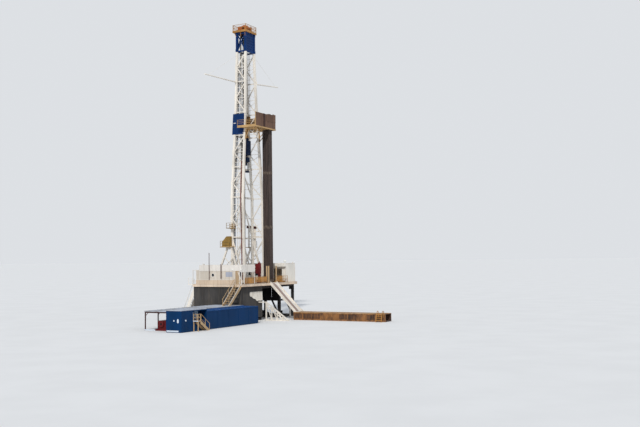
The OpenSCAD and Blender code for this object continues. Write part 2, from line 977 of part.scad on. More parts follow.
// Walls towards the yard of the landings at both ends of the driller's house, one with a shut door
module landing_walls()
{
    y0 = -floor_near;
    y1 = y0 + wall_t;
    z = floor_z + seat;
    zt = z + doghouse_h;
    a = dog_x1 + 390;
    b = a + 400;
    h = 1150;
    color(white)
    {
        box([dog_x1 + seat, y0, z], [a, y1, zt]);
        box([b, y0, z], [floor_front - 200, y1, zt]);
        box([a + seat, y0, z + h], [b - seat, y1, zt]);
        box([a + seat, y0 + 10, z], [b - seat, y1 - 5, z + h - seat]);
        box([dog_x0 - 360, y0 + 4, z], [dog_x0 - seat, y1, z + doghouse_h - 380]);
    }
}

// Pole and exhaust pipe that stand against the outer wall of the driller's house
module house_poles()
{
    y = -floor_near - 22 - 45;
    color(red)
    {
        rod([-600, y, floor_z + 350], [-600, y, floor_z + doghouse_h + 1050], 26, 12);
        for (h = [500, doghouse_h - 550])
            box([-612, y, floor_z + h], [-588, -floor_near - seat, floor_z + h + 30]);
    }
    color(dark)
    {
        rod([560, y, floor_z + 450], [560, y, floor_z + doghouse_h + 130], 36, 12);
        for (h = [600, doghouse_h - 550])
            box([548, y, floor_z + h], [572, -floor_near - seat, floor_z + h + 30]);
    }
}

module far_side_house()
{
    x0 = -floor_back;
    x1 = floor_front - 200;
    y0 = floor_far - 1600;
    y1 = floor_far;
    z = floor_z + seat;
    h = far_house_h;
    color(white)
    {
        difference()
        {
            box([x0, y0, z], [x1, y1, z + h]);
            box([x0 + wall_t, y0 + wall_t, z - 1], [x1 - wall_t, y1 - wall_t, z + h - 50]);
            box([1030, y0 - 5, z - 1], [1890, y0 + wall_t + 5, z + 1150]);
            box([-1600, y0 - 5, z + 550], [-500, y0 + wall_t + 5, z + 1150]);
        }
        // eaves over the wide doorway
        box([930, y0 - 260, z + h - 270], [x1, y0 - seat, z + h]);
    }
}

module iron_roughneck()
{
    color(red)
    {
        box([1000, -250, floor_z + seat], [1200, 150, floor_z + 200]);
        box([1050, -180, floor_z + 150], [1180, 80, floor_z + 1700]);
        box([850, -230, floor_z + 760], [1190, 130, floor_z + 1600]);
    }
}

module floor_rails()
{
    x = floor_front - 40;
    z = floor_z + seat;
    color(yellow)
    {
        rail([x, dog_y1 + 740, z], [x, -1000, z], toe = 110);
        rail([x, 1000, z], [x, floor_far - 1650, z], toe = 110);
        rail([930, floor_far - 1950, z], [x - 60, floor_far - 1950, z], toe = 110);
        rail([-floor_back + 20, dog_y1 + 40, z], [-floor_back + 20, floor_far - 1650, z]);
    }
}

module v_door_posts()
{
    color(tan_c)
        for (y = [-930, -620, 620])
            box([floor_front - 140, y - 40, floor_z + seat], [floor_front - 60, y + 40, floor_z + 1420]);
}

// Ramp and catwalk

module v_door_ramp()
{
    x0 = floor_front + seat;
    x1 = 4880;
    z0 = floor_z;
    z1 = catwalk_h + seat;
    color(white)
        rotate([90, 0, 0])
            translate([0, 0, -ramp_w / 2])
            {
                // chute plate
                linear_extrude(height = ramp_w)
                    polygon([[x0, z0], [x1, z1], [x1 - 60, z1], [x0, z0 - 90]]);
                for (y = [0, ramp_w - 30])
                    translate([0, 0, y])
                        linear_extrude(height = 30)
                            polygon([[x0, z0 + 90], [x1 + 60, z1 + 90], [x1 + 60, z1], [x1 - 120, z1], [x0, z0 - 180]]);
            }
}

module catwalk()
{
    x0 = catwalk_x0;
    x1 = x0 + catwalk_l;
    w = 1050;
    color(tan_c)
    {
        for (s = [-1, 1])
        {
            box([x0, s * (w / 2) - 60, 0], [x1, s * (w / 2) + 60, 120]);
            box([x0, s * (w / 2) - 60, catwalk_h - 120], [x1, s * (w / 2) + 60, catwalk_h]);
            for (i = [0:10])
            {
                x = x0 + 40 + (catwalk_l - 80) * i / 10;
                box([x - 40, s * (w / 2) - 50, 0], [x + 40, s * (w / 2) + 50, catwalk_h]);
            }
            box([x0 + 10, s * (w / 2) - 10, 60], [x1 - 10, s * (w / 2) + 10, catwalk_h - 60]);
        }
        box([x0, -w / 2, catwalk_h - 60], [x1, w / 2, catwalk_h - 10]);
        for (i = [0:5])
        {
            x = x0 + 40 + (catwalk_l - 80) * i / 5;
            box([x - 35, -w / 2, 10], [x + 35, w / 2, 110]);
        }
    }
}

// Long blue building

module blue_building()
{
    t = wall_t;
    g = seat;
    hb = blue_h + 185;
    zf = 60;
    ya = porch_y0 + g;
    yb = blue_split - t - g;
    color(blue)
    {
        // floor, then the walls as panels that stand on it
        box([blue_x0, blue_y0, 0], [blue_x1, blue_y1, zf]);
        // end block: end wall, back wall, wall to the long block, yard wall
        box([blue_x0, blue_y0, zf + g], [blue_x1, blue_y0 + t, hb]);
        box([blue_x0, blue_y0 + t + g, zf + g], [blue_x0 + t, yb, hb]);
        box([blue_x0, blue_split - t, zf + g], [blue_x1, blue_split, hb]);
        box([blue_x1 - t, blue_y0 + t + g, zf + g], [blue_x1, porch_y0 - t - g, hb]);
        // porch: side wall, ceiling, floor and skirt
        box([porch_x - t, porch_y0 - t, zf + g], [blue_x1, porch_y0, hb]);
        box([porch_x + g, ya, porch_top], [blue_x1, yb, hb]);
        box([porch_x + g, ya, porch_z - 60], [blue_x1, yb, porch_z]);
        box([blue_x1 - t, ya, zf + g], [blue_x1, yb, porch_z - 60 - g]);
        // back wall of the porch round the doorway
        box([porch_x - t, ya, zf + g], [porch_x, door_y - 6, hb]);
        box([porch_x - t, door_y + door_w + 6, zf + g], [porch_x, yb, hb]);
        box([porch_x - t, door_y - 6 + g, zf + g], [porch_x, door_y + door_w + 6 - g, porch_z]);
        box([porch_x - t, door_y - 6 + g, porch_z + door_h + 12], [porch_x, door_y + door_w + 6 - g, hb]);
        // long block
        box([blue_x0, blue_split + g, zf + g], [blue_x0 + t, blue_y1 - t - g, blue_h]);
        box([blue_x1 - t, blue_split + g, zf + g], [blue_x1, blue_y1 - t - g, blue_h]);
        box([blue_x0, blue_y1 - t, zf + g], [blue_x1, blue_y1, blue_h]);
        // fixed knuckles of the door hinges
        for (z = [porch_z + 140, porch_z + door_h - 180])
        {
            translate([door_x, door_y, z + 40 + seat])
                cylinder(r = 12, h = 30, $fn = 24);
            box([porch_x + g, door_y - 30, z + 40 + seat], [door_x, door_y - 8, z + 70 + seat]);
            box([door_x - 8, door_y - 30, z + 40 + seat], [door_x, door_y - 4, z + 70 + seat]);
        }
    }
}

module pale_roofs()
{
    color([0.75, 0.76, 0.78])
    {
        box([blue_x0, blue_y0, blue_h + 185 + seat], [blue_x1, blue_split, blue_h + 225]);
        box([blue_x0, blue_split + 1, blue_h + seat], [blue_x1, blue_y1, blue_h + 40]);
        box([shed_x0, shed_y0, shed_z - 60 + seat], [shed_x1, shed_y1, shed_z]);
    }
}

module porch_door()
{
    color([0.55, 0.68, 0.80])
    {
        box([porch_x - 40, door_y, porch_z + 6], [porch_x - 10, door_y + door_w, porch_z + 6 + door_h]);
        for (z = [porch_z + 140, porch_z + door_h - 180])
        {
            translate([door_x, door_y, z])
                cylinder(r = 12, h = 40, $fn = 24);
            box([porch_x - 12, door_y + 2, z], [door_x, door_y + 40, z + 40]);
            box([door_x - 6, door_y, z], [door_x, door_y + 10, z + 40]);
        }
        box([porch_x - 12, door_y + door_w - 70, porch_z + 350], [porch_x + 18, door_y + door_w - 40, porch_z + 380]);
    }
}

module porch_steps()
{
    run = 1150;
    x0 = blue_x1 + seat;
    y0 = porch_y0 + 30;
    color(yellow)
    {
        box([x0, y0, porch_z - 60], [x0 + 430, y0 + 320, porch_z]);
        for (x = [blue_x1 + 30, blue_x1 + 400])
            box([x - 25, y0 + 20, 0], [x + 25, y0 + 70, porch_z - 60 - seat]);
        translate([blue_x1 + 216, y0 + 320 + seat, porch_z])
            rotate([0, 0, 90])
                stair(run, porch_z, 400, 8, true, 20, 190);
        // rails round the landing
        rail([x0 + 415, y0 + 15, porch_z + seat], [x0 + 415, y0 + 290, porch_z + seat], 470);
        rail([x0 + 40, y0 + 15, porch_z + seat], [x0 + 380, y0 + 15, porch_z + seat], 470);
    }
}

module shed_posts()
{
    color(rust)
    {
        for (x = [shed_x0 + 60, shed_x1 - 60])
            for (i = [0:6])
            {
                y = shed_y0 + 60 + (shed_y1 - shed_y0 - 120) * i / 6;
                box([x - 32, y - 32, 0], [x + 32, y + 32, shed_z - 60]);
            }
    }
}

module mud_pump()
{
    x1 = shed_x1 - 92 - seat;
    y0 = shed_y0 + 15;
    color(red)
    {
        box([x1 - 1745, y0, 0], [x1, y0 + 1285, 120]);
        box([x1 - 1645, y0 + 285, 100], [x1 - 945, y0 + 1185, 700]);
        box([x1 - 955, y0 + 385, 100], [x1 - 395, y0 + 1085, 480]);
    }
}

placed() substructure_trusses();
placed() substructure_cross_beams();
placed() floor_deck();
placed() rotary_table();
placed() floor_windwalls();
placed() white_tarp();
placed() front_struts();
placed() rear_stair();
placed() mast_sides_lower();
placed() mast_sides_upper();
placed() mast_back_lower();
placed() mast_back_upper();
placed() mast_top_section();
placed() racking_level_panel();
placed() crown_platform();
placed() crown_block();
placed() mast_ladder();
placed() standpipe();
placed() racking_board();
placed() racking_windwall();
placed() pipe_stands();
placed() mast_poles();
placed() a_frames();
placed() service_platforms();
placed() drawworks();
placed() travelling_block();
placed() top_drive();
placed() guide_rails();
placed() drilling_lines();
placed() fast_and_dead_lines();
placed() doghouse_walls();
placed() doghouse_roof();
placed() landing_walls();
placed() house_poles();
placed() far_side_house();
placed() iron_roughneck();
placed() floor_rails();
placed() v_door_posts();
placed() v_door_ramp();
placed() catwalk();
placed() floor_stair();
placed() blue_building();
placed() pale_roofs();
placed() porch_door();
placed() porch_steps();
placed() shed_posts();
placed() mud_pump();
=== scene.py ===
import math
import random

import bpy
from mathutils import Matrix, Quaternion, Vector, noise


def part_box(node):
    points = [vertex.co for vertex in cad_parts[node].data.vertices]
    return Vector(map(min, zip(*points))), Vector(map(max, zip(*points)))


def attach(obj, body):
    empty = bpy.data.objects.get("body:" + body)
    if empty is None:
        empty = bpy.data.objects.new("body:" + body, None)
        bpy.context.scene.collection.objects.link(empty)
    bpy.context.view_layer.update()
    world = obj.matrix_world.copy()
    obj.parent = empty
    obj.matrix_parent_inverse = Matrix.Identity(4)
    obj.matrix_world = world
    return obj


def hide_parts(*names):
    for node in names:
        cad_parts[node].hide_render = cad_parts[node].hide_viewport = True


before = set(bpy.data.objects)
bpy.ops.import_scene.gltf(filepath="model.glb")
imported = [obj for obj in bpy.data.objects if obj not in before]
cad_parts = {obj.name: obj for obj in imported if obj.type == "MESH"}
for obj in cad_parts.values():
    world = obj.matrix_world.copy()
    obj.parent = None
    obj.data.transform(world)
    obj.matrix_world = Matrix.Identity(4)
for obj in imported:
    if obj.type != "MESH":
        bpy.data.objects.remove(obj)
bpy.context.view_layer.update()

dice = random.Random(7)
SIDES = (-1, 1)

# Frame of the rig: origin on the ground under the middle of the mast's foot, half real size
foot_lo, foot_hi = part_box("mast_sides_lower")
OX, OY = (foot_lo[0] + foot_hi[0]) / 2, (foot_lo[1] + foot_hi[1]) / 2


def rig_box(node):
    """Low and high corner of a solid's box, in the rig's frame."""
    return [(x - OX, y - OY, z) for x, y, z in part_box(node)]


(BACK, NEAR, _), (FRONT, FAR, FLOOR) = rig_box("floor_deck")
(CAT_X0, CAT_Y0, _), (CAT_X1, CAT_Y1, CAT_TOP) = rig_box("catwalk")
(BLUE_X0, BLUE_Y0, _), (BLUE_X1, BLUE_Y1, _) = rig_box("blue_building")
SPLIT = BLUE_Y0 + 3.05

# Mast lines, as in the solids; heights count from the floor
BASE_W, MID_W, TOP_W = 3.15, 1.88, 1.33
BASE_D, TOP_D = 1.20, 0.86
LEG = 0.18
MAST_H = 19.95
LEVELS = [i * MAST_H / 399 for i in (0, 76, 144, 196, 251, 291, 345, 399)]
KINK, MID_H = LEVELS[2], LEVELS[5]
XR = -BASE_D / 2
WELL_X = XR + TOP_D / 2
BOARD_X, BOARD_Y, BOARD_H = 1.85, 1.65, 13.3


def half_w(h):
    """Half width of the mast at a height above the floor."""
    if h <= KINK:
        return BASE_W / 2
    if h <= MID_H:
        return BASE_W / 2 - (BASE_W - MID_W) / 2 * (h - KINK) / (MID_H - KINK)
    return MID_W / 2 - (MID_W - TOP_W) / 2 * (h - MID_H) / (MAST_H - MID_H)


def front_x(h):
    """x of the front legs at a height above the floor."""
    return XR + BASE_D + (TOP_D - BASE_D) * h / MAST_H


def leg(side, front, h, dx=0, dy=0, dz=0):
    """Point by a leg's centre line; side -1 is the driller's, front 1 is the ramp side."""
    return Vector(((front_x(h) if front > 0 else XR) + dx, side * half_w(h) + dy, h + dz))


def evenly(start, step, count):
    """Places in a row, one step apart."""
    return [start + step * i for i in range(count)]


def between(a, b, gaps):
    """Places from a to b with even gaps."""
    return [a + (b - a) * i / gaps for i in range(gaps + 1)]


def placed(name, data):
    """New object in the scene."""
    obj = bpy.data.objects.new(name, data)
    bpy.context.scene.collection.objects.link(obj)
    return obj


# Camera, at the photograph's viewing angle
CAM_AT = (37.25, -60.425, 5.0)
CAM_HEADING, CAM_PITCH, CAM_ROLL = [math.radians(a) for a in (28.0, 2.90, -0.6)]
cam_data = bpy.data.cameras.new("camera")
cam_data.lens = 50.6
cam_data.sensor_width = 36
cam_data.clip_end = 6000
cam = placed("camera", cam_data)
cam.location = CAM_AT
cam.rotation_mode = "QUATERNION"
level = math.cos(CAM_PITCH)
forward = Vector((-math.sin(CAM_HEADING) * level, math.cos(CAM_HEADING) * level, math.sin(CAM_PITCH)))
cam.rotation_quaternion = forward.to_track_quat("-Z", "Y") @ Quaternion((0, 0, 1), CAM_ROLL)
bpy.context.scene.camera = cam


# Materials

def rgb(*colour):
    """Linear colour of an 8 bit sRGB one."""
    def lin(c):
        c /= 255
        return c / 12.92 if c <= 0.04045 else ((c + 0.055) / 1.055) ** 2.4
    return (*[lin(c) for c in colour], 1)


def put(tree, value, socket):
    """Give a socket a fixed value, or join another node's output to it."""
    if isinstance(value, bpy.types.NodeSocket):
        tree.links.new(value, socket)
    else:
        socket.default_value = value


def add_node(tree, kind, inputs, **settings):
    """New shader node; inputs maps its sockets to values or to outputs of other nodes."""
    node = tree.nodes.new("ShaderNode" + kind)
    for key, value in settings.items():
        setattr(node, key, value)
    for key, value in inputs.items():
        put(tree, value, node.inputs[key])
    return node


class Nodes:
    """Node tree of a new material, with short ways to add and join nodes."""

    def __init__(self, name):
        self.mat = bpy.data.materials.new(name)
        self.mat.use_nodes = True
        self.tree = self.mat.node_tree
        self.coord = self.add("TexCoord", {}).outputs["Object"]

    def add(self, kind, inputs, **settings):
        return add_node(self.tree, kind, inputs, **settings)

    def noise(self, scale, stretch=(1, 1, 1), detail=4, rough=0.55):
        """Noise whose features are 1 / scale metres, stretched along each axis."""
        place = self.add("Mapping", {"Vector": self.coord, "Scale": [scale / s for s in stretch]})
        inputs = {"Vector": place.outputs["Vector"], "Scale": 1, "Detail": detail, "Roughness": rough}
        return self.add("TexNoise", inputs).outputs["Fac"]

    def ramp(self, value, low, high, top=1.0, bottom=0.0):
        """bottom below low, top above high."""
        inputs = {"Value": value, "From Min": low, "From Max": high, "To Min": bottom, "To Max": top}
        return self.add("MapRange", inputs, interpolation_type="SMOOTHSTEP").outputs["Result"]

    def math(self, kind, a, b=0):
        return self.add("Math", {0: a, 1: b}, operation=kind).outputs["Value"]

    def mix(self, amount, a, b):
        """Colour a where amount is 0 and b where it is 1; sockets 6, 7 and 2 are the colour ones."""
        return self.add("Mix", {0: amount, 6: a, 7: b}, data_type="RGBA").outputs[2]

    def axis(self, name):
        return self.add("SeparateXYZ", {"Vector": self.coord}).outputs[name]

    def wave(self, axis, pitch):
        """Even ribs across one axis, from 0 to 1."""
        turn = self.math("MULTIPLY", self.axis(axis), 2 * math.pi / pitch)
        return self.ramp(self.math("SINE", turn), -1, 1)

    def finish(self, colour, rough, bump=None, metal=0.0, shine=0.5, sheen=0.0):
        """Join it all to the shader; bump is (height, strength, distance)."""
        shader = self.tree.nodes["Principled BSDF"].inputs
        looks = {"Base Color": colour, "Roughness": rough, "Metallic": metal,
                 "Specular IOR Level": shine, "Sheen Weight": sheen}
        if bump:
            inputs = dict(zip(("Height", "Strength", "Distance"), bump))
            looks["Normal"] = self.add("Bump", inputs).outputs["Normal"]
        for key, value in looks.items():
            put(self.tree, value, shader[key])
        return self.mat


GRIME, DUST, RUST = (104, 84, 62), (160, 134, 106), (96, 52, 28)


def paint(name, base, worn, dirt, dirt_part, rust_part, rough=0.5, shine=0.35, ribs=None, foot=None,
          metal=0.0, grain=1.0):
    """Weathered paint: uneven fading, runs of dirt, chips of rust, a fine skin.

    worn is what is left of the colour where it has faded; dirt_part and rust_part say how much
    of them shows; ribs is (axis, pitch, depth); foot is (height, share, fade) of the dust at
    the lower edge."""
    n = Nodes(name)
    patches = n.ramp(n.noise(0.9 * grain, (1, 1, 2.2)), 0.36, 0.66)
    colour = n.mix(patches, rgb(*base), rgb(*[c * worn for c in base]))
    runs = n.noise(5 * grain, (1, 1, 9), detail=6, rough=0.65)
    dirt_mask = n.ramp(runs, 0.47, 0.78, dirt_part)
    if foot:
        height, share, fade = foot
        low = n.ramp(n.axis("Z"), height, height - fade, share)
        dust = n.math("MULTIPLY", low, n.ramp(runs, 0.2, 0.6, 1, 0.5))
        dirt_mask = n.math("MAXIMUM", dirt_mask, dust)
    colour = n.mix(dirt_mask, colour, rgb(*dirt))
    spots = n.ramp(n.noise(13 * grain, (1, 1, 1.6), detail=8, rough=0.7), 0.60, 0.68)
    area = n.ramp(n.noise(1.7 * grain, detail=2), 0.46, 0.60, min(1, rust_part * 5))
    chips = n.math("MULTIPLY", spots, area)
    colour = n.mix(chips, colour, rgb(*RUST))
    roughness = n.ramp(n.math("ADD", runs, chips), 0.35, 1.2, min(0.95, rough + 0.3), rough)
    skin = n.noise(38 * grain, detail=3)
    bump = (skin, 0.25, 0.004)
    if ribs:
        axis, pitch, depth = ribs
        bump = (n.math("ADD", n.math("MULTIPLY", skin, 0.12), n.wave(axis, pitch)), 0.8, depth)
    return n.finish(colour, roughness, bump, metal, shine)


def grating(name, base):
    """Open floor grating or tread plate: bars both ways, painted shade darkening the gaps between them, and
    patches of grime.
    """
    n = Nodes(name)
    bars = n.math("MAXIMUM", n.wave("X", 0.05), n.wave("Y", 0.12))
    grime = n.noise(2.4, detail=5)
    # painted shade: the gaps between the bars get a darker copy of the base colour
    colour = n.mix(n.ramp(bars, 0.55, 0.8), rgb(*[c * 0.55 for c in base]), rgb(*base))
    colour = n.mix(n.ramp(grime, 0.42, 0.7, 0.55), colour, rgb(96, 76, 54))
    return n.finish(colour, n.ramp(grime, 0.3, 0.7, 0.85, 0.6), (bars, 0.7, 0.006))


def steel_pipe(name, base, other, length):
    """Drill pipe: scaled brown steel with bands of mud and rubbed places along its length."""
    n = Nodes(name)
    along = n.noise(1.0, (0.12, 0.12, length), detail=5, rough=0.7)
    fine = n.noise(22, (1, 1, 5), detail=6, rough=0.7)
    colour = n.mix(n.ramp(along, 0.38, 0.64), rgb(*base), rgb(*other))
    colour = n.mix(n.ramp(fine, 0.5, 0.72, 0.5), colour, rgb(52, 38, 32))
    return n.finish(colour, n.ramp(fine, 0.3, 0.7, 0.75, 0.48), (fine, 0.3, 0.003), metal=0.25)


def glass(name):
    n = Nodes(name)
    smudge = n.noise(6, detail=3)
    colour = n.mix(n.ramp(smudge, 0.4, 0.7), rgb(28, 34, 40), rgb(52, 58, 62))
    return n.finish(colour, n.ramp(smudge, 0.4, 0.7, 0.3, 0.08))


def cloth(name, base):
    n = Nodes(name)
    weave = n.math("MAXIMUM", n.wave("Y", 0.012), n.wave("Z", 0.012))
    stain = n.noise(1.6, (1, 1, 2), detail=6, rough=0.65)
    colour = n.mix(n.ramp(stain, 0.42, 0.7, 0.55), rgb(*base), rgb(164, 150, 128))
    return n.finish(colour, 0.8, (weave, 0.2, 0.002), sheen=0.2)


def catwalk_steel(name):
    """Ochre posts and chords; the sunken web between them is painted brown and dark, as painted shade in the
    recess.
    """
    n = Nodes(name)
    half = (CAT_Y1 - CAT_Y0) / 2
    off = n.math("ABSOLUTE", n.math("SUBTRACT", n.axis("Y"), (CAT_Y0 + CAT_Y1) / 2 + OY))
    sunken = n.ramp(off, half - 0.046, half - 0.052)
    below_chord = n.ramp(n.axis("Z"), CAT_TOP - 0.012, CAT_TOP - 0.05)
    stain = n.noise(2.2, (1, 1, 2), detail=7, rough=0.7)
    ochre = n.mix(n.ramp(stain, 0.40, 0.68), rgb(144, 98, 52), rgb(78, 52, 36))
    # painted shade: dark brown colour given to the sunken web below the top chord, standing for shade in the
    # recess
    web = n.mix(n.ramp(stain, 0.38, 0.66), rgb(78, 50, 36), rgb(38, 30, 28))
    colour = n.mix(n.math("MULTIPLY", sunken, below_chord), ochre, web)
    return n.finish(colour, n.ramp(stain, 0.3, 0.7, 0.85, 0.6), (n.noise(30, detail=4), 0.3, 0.004))


def roof_sheet(name, west, south):
    """Pale ribbed sheet, and blue over the long room: east of west and north of south."""
    n = Nodes(name)
    east = n.ramp(n.axis("X"), west - 0.02, west - 0.01)
    north = n.ramp(n.axis("Y"), south - 0.02, south - 0.01)
    stain = n.noise(1.1, (1, 1.6, 1), detail=6, rough=0.65)
    patches = n.ramp(stain, 0.40, 0.70)
    pale_part = n.mix(patches, rgb(172, 178, 190), rgb(140, 140, 140))
    blue_part = n.mix(patches, rgb(6, 66, 128), rgb(24, 62, 100))
    colour = n.mix(n.math("MULTIPLY", east, north), pale_part, blue_part)
    skin = n.math("MULTIPLY", n.noise(30, detail=3), 0.12)
    height = n.math("ADD", skin, n.wave("Y", 0.22))
    return n.finish(colour, n.ramp(stain, 0.3, 0.7, 0.8, 0.55), (height, 0.8, 0.006), shine=0.25)


WALL_RIBS = ("X", 0.30, 0.006)
# name, colour, what fading leaves of it, dirt's colour, how much dirt and rust
white = paint("white_mast_paint", (236, 229, 218), 0.93, GRIME, 0.45, 0.10)
house_white = paint("house_paint", (208, 198, 184), 0.93, DUST, 0.34, 0.05, ribs=WALL_RIBS)
roof_white = paint("roof_band_paint", (226, 220, 212), 0.95, GRIME, 0.25, 0.04)
far_white = paint("far_house_paint", (232, 227, 217), 0.94, DUST, 0.25, 0.05, ribs=WALL_RIBS)
blue = paint("blue_rig_paint", (4, 48, 104), 0.8, (34, 54, 78), 0.3, 0.08, shine=0.15)
drive_blue = paint("top_drive_paint", (8, 34, 70), 0.8, (24, 34, 48), 0.4, 0.05, shine=0.15)
blue_wall = paint("blue_wall_paint", (0, 48, 92), 0.86, (22, 60, 92), 0.4, 0.02, rough=0.55, shine=0.12,
                  ribs=("Y", 0.16, 0.008), foot=(0.30, 0.30, 0.25))
yellow = paint("ochre_paint", (178, 128, 66), 0.82, (92, 64, 40), 0.6, 0.25)
rail_ochre = paint("rail_ochre_paint", (192, 136, 62), 0.8, (98, 64, 36), 0.6, 0.25)
bright_yellow = paint("yellow_paint", (146, 115, 52), 0.84, (88, 68, 42), 0.6, 0.2)
tan = paint("tan_paint", (196, 166, 126), 0.88, (118, 92, 64), 0.5, 0.15, rough=0.7)
skirt_tan = paint("skirt_paint", (214, 192, 168), 0.93, (160, 128, 96), 0.5, 0.08, rough=0.7)
door_tan = paint("door_paint", (176, 150, 118), 0.88, (110, 88, 64), 0.5, 0.1, rough=0.6)
deck = paint("deck_paint", (226, 206, 184), 0.9, (150, 126, 100), 0.5, 0.2, rough=0.7)
plank = grating("deck_grating", (150, 126, 96))
dark = paint("dark_grey_steel", (46, 44, 44), 0.8, (84, 74, 64), 0.4, 0.15, rough=0.75, shine=0.2)
sheet_grey = paint("windwall_steel", (68, 66, 65), 0.78, (106, 96, 84), 0.5, 0.06, rough=0.65, shine=0.25)
grey = paint("machine_grey", (118, 116, 110), 0.85, (64, 54, 42), 0.55, 0.15)
rack_brown = paint("rack_sheet_paint", (64, 40, 33), 0.8, (44, 30, 28), 0.6, 0.2, rough=0.75)
board_khaki = paint("racking_board_paint", (190, 154, 104), 0.84, (100, 74, 48), 0.6, 0.25)
# painted shade: near-black ribbed sheet that stands for the shade inside the well bay
bay_shade_paint = paint("well_bay_shade_steel", (30, 29, 29), 0.8, (58, 50, 44), 0.4, 0.05, rough=0.85, shine=0.15,
                 ribs=("X", 0.14, 0.008))
orange = paint("orange_paint", (176, 88, 38), 0.85, (84, 50, 30), 0.5, 0.2)
red = paint("red_paint", (108, 24, 28), 0.8, (64, 34, 28), 0.5, 0.1, shine=0.25)
standpipe_red = paint("standpipe_paint", (116, 66, 58), 0.85, (96, 70, 58), 0.5, 0.15)
brown = paint("brown_sheet", (112, 84, 68), 0.78, (70, 48, 38), 0.6, 0.25, rough=0.75,
              ribs=("Y", 0.11, 0.006))
post_red = paint("red_brown_post", (72, 34, 30), 0.85, (52, 38, 32), 0.4, 0.12, shine=0.2)
pale_fitting = paint("pale_fitting_paint", (204, 214, 226), 0.97, GRIME, 0.06, 0)
pale_edge = paint("catwalk_edge_paint", (198, 170, 132), 0.9, (110, 84, 58), 0.5, 0.15)
plate_grey = paint("bare_plate_paint", (166, 170, 182), 0.93, GRIME, 0.3, 0.03)
worn_ramp = paint("ramp_wear_steel", (158, 138, 128), 0.86, (100, 84, 74), 0.6, 0.2, rough=0.6)
pale_blue = paint("pale_door_paint", (150, 178, 204), 0.92, GRIME, 0.3, 0.04)
rope = paint("wire_rope", (66, 62, 58), 0.8, GRIME, 0.35, 0.1, metal=0.5, grain=4)
pipe = steel_pipe("drill_pipe_steel", (80, 66, 61), (46, 39, 38), 2.5)
joint_steel = steel_pipe("tool_joint_steel", (112, 98, 86), (66, 56, 50), 0.4)
black = paint("black_rubber", (30, 30, 32), 0.8, (70, 62, 54), 0.4, 0, rough=0.8, shine=0.2)
lamp_white = paint("lamp_white", (238, 238, 232), 0.97, GRIME, 0.15, 0.02, rough=0.35)
window = glass("window_glass")
tarp = cloth("white_tarp_cloth", (226, 220, 208))
catwalk_paint = catwalk_steel("catwalk_steel")
roof_paint = roof_sheet("roof_sheets", BLUE_X0 + OX, SPLIT + OY)

NODE_MATERIALS = {
    white: ["mast_sides_lower", "mast_sides_upper", "mast_back_lower", "mast_back_upper", "mast_ladder",
            "mast_poles", "a_frames", "front_struts", "rear_stair", "v_door_ramp"],
    house_white: ["doghouse_walls", "landing_walls"],
    roof_white: ["doghouse_roof"],
    far_white: ["far_side_house"],
    blue: ["mast_top_section", "racking_level_panel", "drawworks"],
    drive_blue: ["top_drive"],
    blue_wall: ["blue_building"],
    yellow: ["crown_platform", "floor_rails", "travelling_block"],
    board_khaki: ["racking_board"],
    bright_yellow: ["service_platforms"],
    tan: ["floor_stair", "v_door_posts", "porch_steps"],
    catwalk_paint: ["catwalk"],
    deck: ["floor_deck"],
    dark: ["substructure_trusses", "substructure_cross_beams"],
    sheet_grey: ["floor_windwalls"],
    grey: ["rotary_table", "guide_rails"],
    orange: ["crown_block"],
    red: ["mud_pump", "iron_roughneck"],
    standpipe_red: ["standpipe"],
    brown: ["racking_windwall"],
    post_red: ["shed_posts", "house_poles"],
    roof_paint: ["pale_roofs"],
    pale_blue: ["porch_door"],
    rope: ["drilling_lines", "fast_and_dead_lines"],
    pipe: ["pipe_stands"],
    tarp: ["white_tarp"],
}
for mat, names in NODE_MATERIALS.items():
    for name in names:
        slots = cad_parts[name].data.materials
        slots.clear()
        slots.append(mat)


# Pieces

